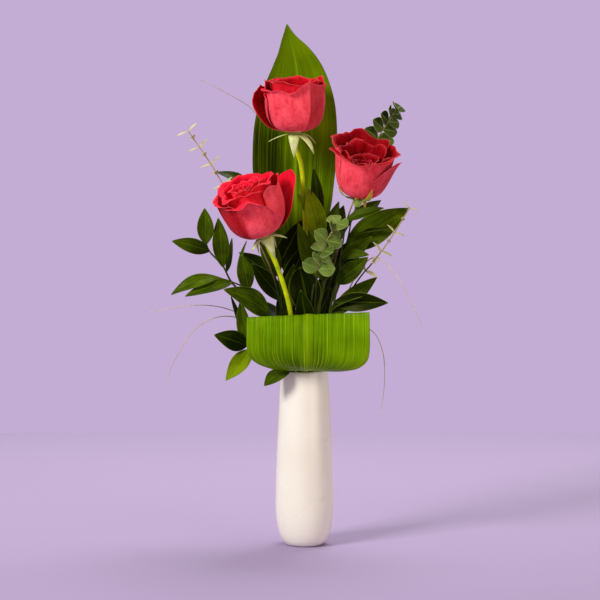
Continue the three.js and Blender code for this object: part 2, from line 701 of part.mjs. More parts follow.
function rose(name, shape) {
  const { height, innerHeight, belly, rim } = shape.cup;
  const { innerBase, innerRise, innerBelly, outerBase, guardGap, spiral } = bloom;
  const inner = { base: innerBase, rise: innerRise, belly: innerBelly, rim: innerBelly, height: innerHeight, spiral };
  const outer = { base: outerBase, rise: 0, belly, rim, height, spiral };
  const guard = { base: outerBase, rise: 0, belly, rim, height, spiral: 0 };
  for (const size of ["base", "belly", "rim"]) guard[size] += guardGap;
  const axis = vec(shape.towards).normalize();

  const head = new THREE.Group();
  head.position.copy(vec(shape.at));
  head.quaternion.setFromUnitVectors(up, axis);
  head.add(piece(`${name}_heart`, heartGeometry(shape.cup), finishes.petal));
  const layers = { inner: [innerPetals, inner], outer: [shape.outer, outer], guard: [shape.guards, guard] };
  for (const [layer, [petals, cup]] of Object.entries(layers)) {
    petals.forEach((one, k) => head.add(piece(`${name}_${layer}_petal_${k + 1}`, petal(one, cup), finishes.petal)));
  }
  head.add(piece(`${name}_calyx`, calyxGeometry(shape), finishes.calyx));

  const { seat, depth, route } = shape.stem;
  const top = vec(shape.at).addScaledVector(axis, -bloom.hipLength - clearance);
  const neck = top.clone().addScaledVector(axis, -12);
  const points = stemPoints(seat, roseStemRadius, depth, [...route, neck.toArray(), top.toArray()]);
  const group = new THREE.Group();
  group.add(piece(`${name}_stem`, rod(points, roseStemRadius, 7, 20), finishes.roseStem));
  group.add(head);
  return group;
}

// ---- The whole vase of flowers ----

const part = new THREE.Group();
part.add(piece("vase", vaseGeometry(), finishes.glaze));

const bouquet = new THREE.Group();
bouquet.position.z = vaseHeight;
part.add(bouquet);

for (const [name, shape] of Object.entries(roses)) bouquet.add(rose(name, shape));
bouquet.add(piece("aspidistra_tall_leaf", tallLeafGeometry(), finishes.broadLeaf));
bouquet.add(piece("aspidistra_rolled_leaf", rolledLeafGeometry(), finishes.broadLeaf));
for (const [name, shape] of Object.entries(ruscus)) {
  bouquet.add(piece(name, branch(shape), finishes.ruscus));
}
for (const [name, shape] of Object.entries(eucalyptus)) {
  const leaves = pairedLeaves(shape);
  bouquet.add(piece(name, branch({ ...shape, radius: sprigRadius, leaves }), finishes.eucalyptus));
}
for (const [name, shape] of Object.entries(grass)) {
  bouquet.add(piece(name, grassBlade(shape), finishes.grass));
}

export default part;
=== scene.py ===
import bisect
import math
import random

import bpy
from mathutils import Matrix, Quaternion, Vector


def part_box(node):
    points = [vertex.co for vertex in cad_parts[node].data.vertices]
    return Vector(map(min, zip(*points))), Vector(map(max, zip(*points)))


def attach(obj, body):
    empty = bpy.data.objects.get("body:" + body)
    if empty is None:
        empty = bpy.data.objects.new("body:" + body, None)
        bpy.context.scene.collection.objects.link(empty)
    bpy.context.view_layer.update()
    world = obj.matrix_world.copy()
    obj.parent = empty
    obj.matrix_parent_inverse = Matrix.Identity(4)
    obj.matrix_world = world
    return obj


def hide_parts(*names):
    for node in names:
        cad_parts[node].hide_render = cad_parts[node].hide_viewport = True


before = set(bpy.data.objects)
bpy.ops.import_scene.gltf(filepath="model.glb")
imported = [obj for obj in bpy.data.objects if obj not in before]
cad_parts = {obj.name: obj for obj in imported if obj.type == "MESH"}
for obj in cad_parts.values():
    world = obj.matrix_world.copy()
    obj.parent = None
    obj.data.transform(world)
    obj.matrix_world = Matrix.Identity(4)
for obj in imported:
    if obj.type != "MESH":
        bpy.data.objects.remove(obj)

# Three red roses with mixed foliage in a slim white vase.
# The dictionaries are in millimetres and start from the middle of the vase's mouth, with -Y the front of the bouquet.

bpy.ops.object.select_all(action="DESELECT")
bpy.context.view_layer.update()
mm = 0.001
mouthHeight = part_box("vase")[1].z / mm

# ---- Camera, lights and floor ----

view = {"target": (-0.0047, 0, 0.259), "distance": 2.5, "elevation": 4, "lens": 142.857, "sensor": 36}
tilt = math.radians(view["elevation"])
place = Vector(view["target"]) + view["distance"] * Vector((0, -math.cos(tilt), math.sin(tilt)))
bpy.ops.object.camera_add(location=place, rotation=(math.pi / 2 - tilt, 0, 0))
camera = bpy.context.object
camera.data.lens = view["lens"]
camera.data.sensor_width = view["sensor"]
bpy.context.scene.camera = camera

lampTarget = Vector((0, 0, 0.35))
lamps = [  # sizes in metres, power in watts
    {"at": (-2.1, -2.1, 1.9), "size": 1.1, "power": 104, "colour": (1.0, 0.98, 0.94)},
    {"at": (1.5, -1.5, 0.6), "size": 1.4, "power": 13, "colour": (1.0, 0.82, 0.58)},
    {"at": (0.3, 0.5, 2.0), "size": 1.0, "power": 26, "colour": (1.0, 0.98, 0.94)},
]
for lamp in lamps:
    aim = (lampTarget - Vector(lamp["at"])).to_track_quat("-Z", "Y").to_euler()
    bpy.ops.object.light_add(type="AREA", location=lamp["at"], rotation=aim)
    light = bpy.context.object.data
    light.size = lamp["size"]
    light.energy = lamp["power"]
    light.color = lamp["colour"]

room = {"backdrop": (0.552, 0.418, 0.658), "light": (1.0, 0.95, 0.9), "strength": 0.36}
world = bpy.data.worlds.new("room")
bpy.context.scene.world = world
world.use_nodes = True
air = world.node_tree
seen = air.nodes["Background"]
seen.inputs["Color"].default_value = (*room["backdrop"], 1)
lit = air.nodes.new("ShaderNodeBackground")
lit.inputs["Color"].default_value = (*room["light"], 1)
lit.inputs["Strength"].default_value = room["strength"]
rays = air.nodes.new("ShaderNodeLightPath")
both = air.nodes.new("ShaderNodeMixShader")
air.links.new(rays.outputs["Is Camera Ray"], both.inputs[0])
air.links.new(lit.outputs[0], both.inputs[1])
air.links.new(seen.outputs[0], both.inputs[2])
air.links.new(both.outputs[0], air.nodes["World Output"].inputs["Surface"])
bpy.context.scene.view_settings.view_transform = "Standard"
print("camera and lights set")

# ---- Small sums ----


def mix(a, b, t):
    return a + (b - a) * t


def clamp(x, low=0.0, high=1.0):
    return max(low, min(high, x))


def smooth(x):
    x = clamp(x)
    return x * x * (3 - 2 * x)


def bezier(a, b, c, d, t):
    s = 1 - t
    return s * s * s * a + 3 * s * s * t * b + 3 * s * t * t * c + t * t * t * d


def through(stops, x):  # the value at x between stops of (x, value)
    k = int(clamp(bisect.bisect_left([at for at, _ in stops], x), 1, len(stops) - 1))
    (x0, a), (x1, b) = stops[k - 1], stops[k]
    return mix(a, b, clamp((x - x0) / (x1 - x0)))


def heading(walk, v, near=0.004):  # the way that a walk goes at v
    return walk(v + near) - walk(v - near)


def inPlace(point):  # from the mouth's millimetres to metres from the foot
    return Vector((point.x, point.y, point.z + mouthHeight)) * mm


def smoothPath(points, between=32):  # an even walk, from 0 to 1, along a smooth curve through the points
    p = [Vector(point) for point in points]
    p = [2 * p[0] - p[1]] + p + [2 * p[-1] - p[-2]]
    fine = [p[1]]
    for a, b, c, d in zip(p, p[1:], p[2:], p[3:]):
        k0, k1, k2 = (max((q - r).length ** 0.5, 1e-4) for q, r in ((b, a), (c, b), (d, c)))
        leave = ((b - a) / k0 - (c - a) / (k0 + k1) + (c - b) / k1) * k1
        reach = ((c - b) / k1 - (d - b) / (k1 + k2) + (d - c) / k2) * k1
        for step in range(1, between + 1):
            s = step / between
            square, cube = 3 * c - 3 * b - 2 * leave - reach, 2 * b - 2 * c + leave + reach
            fine.append(b + leave * s + square * s * s + cube * s ** 3)
    lengths = [0.0]
    for a, b in zip(fine, fine[1:]):
        lengths.append(lengths[-1] + (b - a).length)

    def walk(v):
        s = clamp(v) * lengths[-1]
        k = int(clamp(bisect.bisect_left(lengths, s), 1, len(fine) - 1))
        return fine[k - 1].lerp(fine[k], (s - lengths[k - 1]) / max(lengths[k] - lengths[k - 1], 1e-9))

    return walk


# ---- Node helpers and shared effects ----


def linear(r, g, b):  # a colour as a painter's 0 to 255
    return tuple((c / 255 / 12.92 if c <= 10 else ((c / 255 + 0.055) / 1.055) ** 2.4) for c in (r, g, b)) + (1,)


def addNode(tree, kind, inputs=None, **settings):
    node = tree.nodes.new("ShaderNode" + kind)
    for key, value in settings.items():
        setattr(node, key, value)
    for key, value in (inputs or {}).items():
        if isinstance(value, bpy.types.NodeSocket):
            tree.links.new(value, node.inputs[key])
        else:
            node.inputs[key].default_value = value
    return node


def sums(tree, operation, *values, clampIt=False):
    return addNode(tree, "Math", dict(enumerate(values)), operation=operation, use_clamp=clampIt).outputs[0]


def times(tree, a, b):
    return sums(tree, "MULTIPLY", a, b)


def timesPlus(tree, a, b, c, clampIt=False):  # a times b, and c
    return sums(tree, "MULTIPLY_ADD", a, b, c, clampIt=clampIt)


def fade(tree, value, low, high, toLow=0.0, toHigh=1.0):
    ranged = {"Value": value, "From Min": low, "From Max": high, "To Min": toLow, "To Max": toHigh}
    return addNode(tree, "MapRange", ranged, interpolation_type="SMOOTHSTEP").outputs[0]


def blend(tree, factor, first, second):
    node = addNode(tree, "Mix", data_type="RGBA")
    for socket, value in ((node.inputs[0], factor), (node.inputs[6], first), (node.inputs[7], second)):
        if isinstance(value, bpy.types.NodeSocket):
            tree.links.new(value, socket)
        else:
            socket.default_value = linear(*value) if isinstance(value, tuple) else value
    return node.outputs[2]


def ramp(tree, factor, stops):  # each stop is (place, colour)
    node = addNode(tree, "ValToRGB", {0: factor})
    steps = node.color_ramp.elements
    while len(steps) < len(stops):
        steps.new(0.5)
    for step, (at, colour) in zip(steps, stops):
        step.position = at
        step.color = linear(*colour)
    return node.outputs[0]


def effect(name, inputs, outputs):
    group = bpy.data.node_groups.new(name, "ShaderNodeTree")
    for label, value in inputs.items():
        group.interface.new_socket(label, in_out="INPUT", socket_type="NodeSocketFloat").default_value = value
    for label in outputs:
        group.interface.new_socket(label, in_out="OUTPUT", socket_type="NodeSocketFloat")
    return group, group.nodes.new("NodeGroupInput").outputs, group.nodes.new("NodeGroupOutput").inputs


def useEffect(tree, group, inputs):
    node = tree.nodes.new("ShaderNodeGroup")
    node.node_tree = group
    for key, value in inputs.items():
        node.inputs[key].default_value = value
    return node.outputs


def onObject(tree):
    return addNode(tree, "TexCoord").outputs["Object"]


def spot(tree, x, y):
    return addNode(tree, "CombineXYZ", {0: x, 1: y}).outputs[0]


def noise(tree, where, scale, detail, roughness=0.5):
    grain = {"Vector": where, "Scale": scale, "Detail": detail, "Roughness": roughness}
    return addNode(tree, "TexNoise", grain).outputs[0]


def deliver(tree, made, **values):
    for label, value in values.items():
        tree.links.new(value, made[label])


def acrossAndAlong(tree):
    apart = addNode(tree, "SeparateXYZ", {0: addNode(tree, "UVMap", uv_map="UVMap").outputs[0]})
    return apart.outputs[0], apart.outputs[1]


# Veins that run side by side from the leaf's base to its tip, with the midrib
def parallelVeins():
    masks = ["Vein", "Midrib", "Height", "Streak", "Thread"]
    group, given, made = effect("parallel veins", {"Count": 20, "Wander": 0.4, "Thin": 0.3}, masks)
    u, v = acrossAndAlong(group)
    drift = noise(group, onObject(group), 45.0, 2.0)
    stripe = timesPlus(group, u, given["Count"], times(group, drift, given["Wander"]))
    wave = sums(group, "PINGPONG", stripe, 0.5)
    vein = sums(group, "SUBTRACT", 1.0, sums(group, "DIVIDE", wave, given["Thin"], clampIt=True))
    middle = sums(group, "ABSOLUTE", sums(group, "SUBTRACT", u, 0.5))
    rib = fade(group, middle, 0.012, 0.05, 1.0, 0.0)
    streak = noise(group, spot(group, times(group, u, given["Count"]), times(group, v, 1.6)), 1.3, 4.0, 0.65)
    finer = times(group, given["Count"], 2.3)
    thread = noise(group, spot(group, times(group, u, finer), times(group, v, 2.0)), 1.0, 2.0)
    height = sums(group, "ADD", times(group, vein, -0.5), times(group, rib, -1.0))
    deliver(group, made, Vein=vein, Midrib=rib, Height=height, Streak=streak, Thread=thread)
    return group


# Soft patches and a fine grain all over
def patches():
    group, given, made = effect("patches", {"Size": 30, "Grain": 900}, ["Patch", "Grain"])
    where = onObject(group)
    soft = noise(group, where, given["Size"], 3.0, 0.55)
    deliver(group, made, Patch=soft, Grain=noise(group, where, given["Grain"], 2.0))
    return group


# Fine veins that fan out up a petal
def fanVeins():
    group, given, made = effect("fan veins", {"Count": 26}, ["Vein", "Crease"])
    u, v = acrossAndAlong(group)
    centred = sums(group, "SUBTRACT", u, 0.5)
    spread = times(group, centred, timesPlus(group, v, 0.7, 0.5))
    thin = spot(group, times(group, spread, given["Count"]), times(group, v, 1.6))
    wide = spot(group, times(group, spread, 7.0), times(group, v, 2.4))
    deliver(group, made, Vein=noise(group, thin, 2.0, 3.0), Crease=noise(group, wide, 1.0, 2.0))
    return group


effects = {"veins": parallelVeins(), "patches": patches(), "fan": fanVeins()}

# ---- Finishes ----


def newFinish(name, constants):
    made = bpy.data.materials.new(name)
    made.use_nodes = True
    shader = made.node_tree.nodes["Principled BSDF"]
    for key, value in constants.items():
        shader.inputs[key].default_value = value
    return made, made.node_tree, shader


def painted(finish, colour, height, relief, rough=None):  # joins the colour, the relief and the gloss to the shader
    made, tree, shader = finish
    tree.links.new(colour, shader.inputs["Base Color"])
    bumps = addNode(tree, "Bump", {"Height": height, "Distance": relief * mm})
    tree.links.new(bumps.outputs[0], shader.inputs["Normal"])
    if rough is not None:
        tree.links.new(rough, shader.inputs["Roughness"])
    return made


def over(tree, colour, mask, amount, paint):  # lays a paint over the colour where the mask is
    return blend(tree, times(tree, mask, amount), colour, paint)


def toneOf(tree):
    return addNode(tree, "Attribute", attribute_name="tone").outputs["Fac"]


# A leaf: "shades" run from the darkest leaves to the lightest, and the veins and the edge are tinted over them.
def leafFinish(
    name, shades, vein, edge, count, veined, edged, ribbed=0.6, streaked=0.0, streak=None, roughness=0.38, size=30,
    shine=0.2, contrast=0.8,
):
    wax = {"Roughness": roughness, "Specular IOR Level": shine, "Specular Tint": linear(214, 232, 120)}
    finish = newFinish(name, wax)
    tree = finish[1]
    lines = useEffect(tree, effects["veins"], {"Count": count, "Wander": 0.35, "Thin": 0.32})
    cloud = useEffect(tree, effects["patches"], {"Size": size, "Grain": 700})
    u, v = acrossAndAlong(tree)
    shade = timesPlus(tree, cloud["Patch"], contrast, sums(tree, "SUBTRACT", toneOf(tree), contrast / 2))
    shade = timesPlus(tree, lines["Streak"], contrast, sums(tree, "SUBTRACT", shade, contrast / 2), clampIt=True)
    colour = ramp(tree, shade, [(k / (len(shades) - 1), one) for k, one in enumerate(shades)])
    colour = over(tree, colour, lines["Vein"], veined, vein)
    colour = over(tree, colour, lines["Midrib"], ribbed, vein)
    side = times(tree, sums(tree, "ABSOLUTE", sums(tree, "SUBTRACT", u, 0.5)), 2.0)
    tip = sums(tree, "MAXIMUM", fade(tree, side, 0.88, 1.0), fade(tree, v, 0.93, 1.0))
    colour = over(tree, colour, tip, edged, edge)
    if streaked:
        colour = over(tree, colour, fade(tree, lines["Thread"], 0.6, 0.68), streaked, streak)
    rough = fade(tree, cloud["Patch"], 0.3, 0.7, roughness - 0.06, roughness + 0.1)
    return painted(finish, colour, timesPlus(tree, cloud["Grain"], 0.25, lines["Height"]), 0.12, rough)


# A petal's face: "deep" is painted shade in the folds and "bright" a painted highlight on the swell, over the petal's
# own mottling and veins; "lip" is a painted highlight along the rim and "foot" its colour where it is held
def petalFinish(name, deep, bright, lip, foot, sheen, tint, footReach=0.16):
    finish = newFinish(name, {
        "Roughness": 0.6, "Specular IOR Level": 0.16, "Specular Tint": linear(255, 150, 150),
        "Sheen Weight": sheen, "Sheen Roughness": 0.45, "Sheen Tint": linear(*tint),
        "Subsurface Weight": 0.15, "Subsurface Scale": 0.004, "Subsurface Radius": (1.0, 0.25, 0.2),
    })
    tree = finish[1]
    fan = useEffect(tree, effects["fan"], {"Count": 26})
    cloud = useEffect(tree, effects["patches"], {"Size": 60, "Grain": 2600})
    crumple = useEffect(tree, effects["patches"], {"Size": 260, "Grain": 2600})
    v = acrossAndAlong(tree)[1]
    shade = timesPlus(tree, fan["Crease"], 0.8, times(tree, cloud["Patch"], 0.6))
    shade = timesPlus(tree, crumple["Patch"], 0.5, shade)
    shade = timesPlus(tree, fan["Vein"], 0.45, sums(tree, "SUBTRACT", shade, 0.65), clampIt=True)
    colour = ramp(tree, shade, [(0.1, deep), (0.62, bright)])
    colour = over(tree, colour, fade(tree, v, 0.9, 1.0), 0.35, lip)
    colour = blend(tree, fade(tree, v, 0.03, footReach, 0.8, 0.0), colour, foot)
    relief = timesPlus(tree, fan["Vein"], 0.3, timesPlus(tree, fan["Crease"], 1.6, times(tree, cloud["Grain"], 0.12)))
    return painted(finish, colour, timesPlus(tree, crumple["Patch"], 0.9, relief), 0.9)


def plainFinish(name, shades, roughness, size, grain=900, relief=0.15, foliageShade=None, risesAt=None):
    finish = newFinish(name, {"Roughness": roughness, "Specular IOR Level": 0.16})
    tree = finish[1]
    cloud = useEffect(tree, effects["patches"], {"Size": size, "Grain": grain})
    colour = ramp(tree, cloud["Patch"], [(0.3 + 0.4 * k / (len(shades) - 1), one) for k, one in enumerate(shades)])
    if foliageShade:  # painted shade: the part deep in the foliage is painted dark, up to a height, or up the map of a blade
        height = addNode(tree, "SeparateXYZ", {0: onObject(tree)}).outputs[2] if risesAt else acrossAndAlong(tree)[1]
        colour = blend(tree, fade(tree, height, *(risesAt or (0.42, 0.64))), foliageShade, colour)
    rough = fade(tree, cloud["Grain"], 0.3, 0.7, roughness - 0.05, roughness + 0.08)
    return painted(finish, colour, cloud["Grain"], relief, rough)


def calyxFinish():  # the hip and sepals: pale green at the edges, and warm at the tips where "tone" says so
    finish = newFinish("calyx green", {"Roughness": 0.5, "Specular IOR Level": 0.35, "Sheen Weight": 0.1})
    tree = finish[1]
    lines = useEffect(tree, effects["veins"], {"Count": 7, "Wander": 0.5, "Thin": 0.5})
    cloud = useEffect(tree, effects["patches"], {"Size": 120, "Grain": 1500})
    v = acrossAndAlong(tree)[1]
    cool = ramp(
        tree, v, [(0.0, (160, 195, 60)), (0.35, (216, 230, 150)), (0.8, (224, 234, 168)), (1.0, (160, 185, 80))],
    )
    warm = ramp(tree, v, [(0.0, (120, 170, 30)), (0.45, (190, 205, 40)), (0.75, (240, 190, 40)), (1.0, (232, 120, 30))])
    colour = blend(tree, toneOf(tree), cool, warm)
    colour = blend(tree, fade(tree, cloud["Patch"], 0.35, 0.75, 0.0, 0.35), colour, (120, 150, 50))
    colour = over(tree, colour, lines["Vein"], 0.3, (128, 155, 70))
    return painted(finish, colour, timesPlus(tree, cloud["Grain"], 0.4, lines["Height"]), 0.2)


def glazeFinish():  # milk-white glaze, a little warmer where it pools, with pinholes
    glass = {"Roughness": 0.3, "Coat Weight": 0.55, "Coat Roughness": 0.12, "Specular IOR Level": 0.5}
    finish = newFinish("milk glaze", glass)
    tree = finish[1]
    cloud = useEffect(tree, effects["patches"], {"Size": 14, "Grain": 520})
    colour = ramp(tree, cloud["Patch"], [(0.3, (233, 229, 213)), (0.7, (241, 239, 226))])
    holes = addNode(tree, "TexVoronoi", {"Vector": onObject(tree), "Scale": 260.0}).outputs["Distance"]
    speck = fade(tree, holes, 0.03, 0.07, 0.25, 0.0)
    colour = blend(tree, speck, colour, (190, 170, 140))
    rough = fade(tree, cloud["Patch"], 0.3, 0.7, 0.24, 0.36)
    return painted(finish, colour, timesPlus(tree, cloud["Grain"], 0.1, cloud["Patch"]), 0.35, rough)


petalColours = {  # name, deep (painted shade in the folds), bright (painted highlight on the swell), lip (painted highlight along the rim), foot, sheen and the sheen's tint
    "outside": ("petal outside", (198, 18, 34), (255, 84, 98), (255, 112, 126), (240, 200, 150), 0.26, (255, 130, 145)),
    "fold": ("petal fold", (138, 2, 16), (222, 26, 48), (238, 70, 88), (200, 60, 40), 0.12, (255, 110, 125)),
    # litFold: a copy of the fold painted lighter, as painted light
    "litFold": (
        "petal fold lit", (176, 4, 20), (250, 40, 62), (246, 84, 100), (200, 60, 40), 0.15, (255, 110, 125),
    ),
    # a copy of the inside painted darker, as painted shade
    "depth": ("petal inside in shade", (78, 0, 4), (148, 2, 16), (196, 30, 46), (120, 10, 12), 0.06, (255, 90, 110)),
    # halfShade: a copy of the outside painted darker, as painted shade on the side away from the light
    "halfShade": ("petal half shaded", (158, 12, 26), (220, 62, 74), (230, 96, 110), (220, 160, 110), 0.2, (255, 125, 138)),
    "shadow": ("petal shaded", (128, 4, 14), (176, 14, 28), (214, 60, 74), (180, 60, 40), 0.12, (255, 120, 130)),
    "inside": ("petal inside", (108, 0, 6), (190, 2, 26), (226, 40, 62), (150, 40, 30), 0.08, (255, 90, 110)),
    # insideLit: a copy of the inside painted lighter, as painted light, and darker over its lower part
    "insideLit": ("petal inside lit", (196, 2, 26), (240, 12, 50), (246, 60, 80), (84, 0, 8), 0.1, (255, 90, 110), 0.6),
    "rim": ("petal rim", (190, 24, 38), (228, 62, 76), (244, 110, 120), (220, 180, 140), 0.15, (255, 170, 180)),
}
finishes = {key: petalFinish(*colours) for key, colours in petalColours.items()}
finishes.update({
    "glaze": glazeFinish(),
    "clay": plainFinish("bare clay", [(214, 200, 178), (228, 216, 196)], 0.8, 90, 1200, 0.3),
    "calyx": calyxFinish(),
    "roseStem": plainFinish("rose stem", [(150, 176, 2), (218, 226, 14)], 0.5, 70),
    # painted shade: a darker copy of the rose stem, for a stem deep in the foliage
    "roseStemShaded": plainFinish("rose stem in the shade", [(30, 44, 2), (74, 92, 8)], 0.5, 70),
    "twig": plainFinish("ruscus twig", [(40, 50, 8), (66, 74, 18)], 0.6, 90),
    # painted shade: the sprig and the grass are painted dark where they are deep in the foliage
    "sprig": plainFinish(
        "eucalyptus sprig", [(140, 124, 70), (176, 156, 104)], 0.6, 90, foliageShade=(34, 40, 6), risesAt=(0.27, 0.33),
    ),
    "straw": plainFinish("dry grass", [(176, 160, 128), (212, 198, 170)], 0.7, 50, foliageShade=(40, 50, 8)),
    "ruscus": leafFinish(
        "ruscus leaf", [(5, 11, 0), (24, 38, 0), (66, 88, 2), (124, 148, 6)], (88, 110, 8), (136, 156, 36), 13,
        veined=0.07, ribbed=0.35, edged=0.35, shine=0.13, roughness=0.36, contrast=1.0,
    ),
    "tall": leafFinish(
        "tall broad leaf", [(10, 18, 0), (58, 82, 0), (96, 126, 0), (134, 164, 2)], (124, 156, 6), (70, 96, 4), 60,
        veined=0.16, size=13, edged=0.3, shine=0.08, contrast=1.2, streaked=0.35, streak=(146, 172, 8),
    ),
    "rolled": leafFinish(
        "rolled broad leaf", [(24, 44, 0), (70, 106, 0), (110, 152, 2), (158, 196, 12)], (150, 182, 12), (90, 120, 8),
        56, veined=0.12, size=13, edged=0.3, ribbed=0.25, streaked=0.6, streak=(206, 218, 40), shine=0.1,
        contrast=1.15,
    ),
    "eucalyptus": leafFinish(
        "eucalyptus leaf", [(28, 42, 8), (64, 86, 26), (102, 126, 54), (152, 168, 96)], (140, 158, 84),
        (180, 188, 128), 5, veined=0.12, edged=0.7, roughness=0.58, size=60, shine=0.12, contrast=0.4,
    ),
    "paleEucalyptus": leafFinish(
        "pale eucalyptus leaf", [(96, 104, 54), (142, 144, 88), (182, 176, 128), (208, 200, 160)], (170, 164, 110),
        (206, 196, 160), 5, veined=0.12, edged=0.5, roughness=0.58, size=60, shine=0.12, contrast=0.5,
    ),
})
print("finishes mixed:", len(finishes))

# ---- Modelling helpers ----


def pick(*pieces):  # leaves just these selected, the first one active
    bpy.ops.object.select_all(action="DESELECT")
    for one in pieces:
        one.select_set(True)
    bpy.context.view_layer.objects.active = pieces[0]
    return pieces[0]


flatSheets = {}


def flatSheet(columns, rows):  # a flat sheet with its map, modelled once
    if (columns, rows) not in flatSheets:
        bpy.ops.mesh.primitive_grid_add(x_subdivisions=columns, y_subdivisions=rows, size=1, calc_uvs=True)
        flatSheets[columns, rows] = bpy.context.object
        flatSheets[columns, rows].name = f"flat.{columns}.{rows}"
    return flatSheets[columns, rows]


# a copy of the flat sheet, curved by place(u, v): u from -1 to 1, v from 0 to 1
def sheet(columns, rows, place, tone=0.5):
    pattern = flatSheet(columns, rows)
    piece = pattern.copy()
    piece.data = pattern.data.copy()
    bpy.context.collection.objects.link(piece)
    spots = [(2 * point.co.x, point.co.y + 0.5) for point in piece.data.vertices]
    for point, (u, v) in zip(piece.data.vertices, spots):
        point.co = inPlace(place(u, v))
    tones = piece.data.attributes.new("tone", "FLOAT", "POINT")
    tones.data.foreach_set("value", [tone(u, v) if callable(tone) else tone for u, v in spots])
    return piece


def joinUp(name, pieces):
    whole = pick(*pieces)
    if len(pieces) > 1:
        bpy.ops.object.join()
    whole.name = name
    whole.data.name = name
    return whole


def addModifier(piece, kind, **settings):
    pick(piece)
    bpy.ops.object.modifier_add(type=kind)
    modifier = piece.modifiers[-1]
    for key, value in settings.items():
        setattr(modifier, key, value)
    bpy.ops.object.modifier_apply(modifier=modifier.name)


# gives a sheet its body; with three sides the back and the rim have their own finishes
def thicken(piece, thickness, sides=1):
    step = 1 if sides == 3 else 0
    addModifier(
        piece, "SOLIDIFY", thickness=thickness * mm, offset=0, material_offset=step, material_offset_rim=2 * step,
    )
    addModifier(piece, "SUBSURF", levels=1, render_levels=1)
    bpy.ops.object.shade_smooth()
    return piece


def tube(points, radius, steps, finish, sides=2):  # a round stem whose radius may change along it
    walk = smoothPath(points)
    curve = bpy.data.curves.new("tube", "CURVE")
    curve.dimensions = "3D"
    curve.bevel_depth = mm
    curve.bevel_resolution = sides
    curve.use_fill_caps = True
    spline = curve.splines.new("POLY")
    spline.points.add(steps)
    for k, point in enumerate(spline.points):
        point.co = (*inPlace(walk(k / steps)), 1)
        point.radius = radius(k / steps) if callable(radius) else radius
    piece = bpy.data.objects.new("tube", curve)
    bpy.context.collection.objects.link(piece)
    pick(piece)
    bpy.ops.object.convert(target="MESH")
    piece = bpy.context.object
    bpy.ops.object.shade_smooth()
    piece.data.materials.clear()
    piece.data.materials.append(finish)
    return piece


def turned(name, rings, sides, finish):  # a closed round form: a disc extruded from ring to ring of (radius, height)
    (radius, height), rest = rings[0], rings[1:]
    start = (0, 0, height * mm)
    bpy.ops.mesh.primitive_circle_add(vertices=sides, radius=radius * mm, fill_type="NGON", location=start)
    piece = bpy.context.object
    bpy.ops.object.transform_apply(location=True)
    bpy.ops.object.mode_set(mode="EDIT")
    bpy.ops.mesh.select_mode(type="FACE")
    bpy.ops.mesh.select_all(action="SELECT")
    for nextRadius, nextHeight in rest:
        bpy.ops.mesh.extrude_region_move(TRANSFORM_OT_translate={"value": (0, 0, (nextHeight - height) * mm)})
        share = nextRadius / radius
        bpy.ops.transform.resize(value=(share, share, 1), center_override=(0, 0, nextHeight * mm))
        radius, height = nextRadius, nextHeight
    bpy.ops.mesh.select_all(action="SELECT")
    bpy.ops.mesh.normals_make_consistent(inside=False)
    bpy.ops.object.mode_set(mode="OBJECT")
    piece.name = name
    piece.data.materials.append(finish)
    addModifier(piece, "SUBSURF", levels=1, render_levels=1)
    bpy.ops.object.shade_smooth()
    return piece


def finishPiece(piece, node, slotName):
    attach(piece, "root")
    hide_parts(node)


# ---- Vase ----

vase = {
    "height": mouthHeight, "mouth": 24.7, "belly": 30.8, "bellyHeight": 42, "foot": 17, "wall": 3.8, "floor": 8,
    "stemFoot": 20, "clearance": 0.3, "sides": 64, "lowRings": 8, "highRings": 14, "bareFoot": 0.4,
}


def makeVase():
    low, high, lip = vase["lowRings"], vase["highRings"], vase["wall"] / 2
    top = vase["height"] - lip
    outside = [(vase["foot"] - 2.5, 0), (vase["foot"], 0.12)]
    for k in range(1, low + 1):
        t = k / low
        wide = bezier(vase["foot"], vase["foot"] + 7, vase["belly"], vase["belly"], t)
        outside.append((wide, bezier(0.12, 0.5, vase["bellyHeight"] * 0.36, vase["bellyHeight"], t)))
    for k in range(1, high + 1):
        t = k / high
        outside.append((mix(vase["belly"], vase["mouth"], t ** 1.5), mix(vase["bellyHeight"], vase["height"], t)))
    outside[-1] = (vase["mouth"], top)
    turns = [math.pi * k / 6 for k in range(1, 6)]
    overLip = [(vase["mouth"] - lip + lip * math.cos(a), top + lip * math.sin(a)) for a in turns]
    inside = [(r - vase["wall"], z) for r, z in reversed(outside) if z > vase["floor"] + 6]
    inside[0] = (vase["mouth"] - vase["wall"], top)
    rings = outside + overLip + inside + [(inside[-1][0] - 6, vase["floor"]), (inside[-1][0] - 9, vase["floor"])]
    piece = turned("vase.fine", rings, vase["sides"], finishes["glaze"])
    piece.data.materials.append(finishes["clay"])
    for face in piece.data.polygons:  # the flat foot is bare
        if face.center.z < vase["bareFoot"] * mm:
            face.material_index = 1
    finishPiece(piece, "vase", "glaze")


makeVase()
print("vase thrown")

# ---- Stems, from the vase's floor out through the mouth ----


def stemPoints(seat, radius, depth, route):
    room = vase["mouth"] - vase["wall"] - vase["clearance"] - radius
    deepest = vase["height"] - vase["floor"] - vase["clearance"] - radius - 4
    below = min(depth, deepest)
    spread = mix(room, vase["stemFoot"], min(depth / deepest, 1))
    foot = Vector((seat[0] * spread, seat[1] * spread, -below))
    mouth = Vector((seat[0] * room, seat[1] * room, 0))
    return [foot, (foot + mouth) / 2, mouth] + [Vector(point) for point in route]


# ---- Leaves on twigs ----


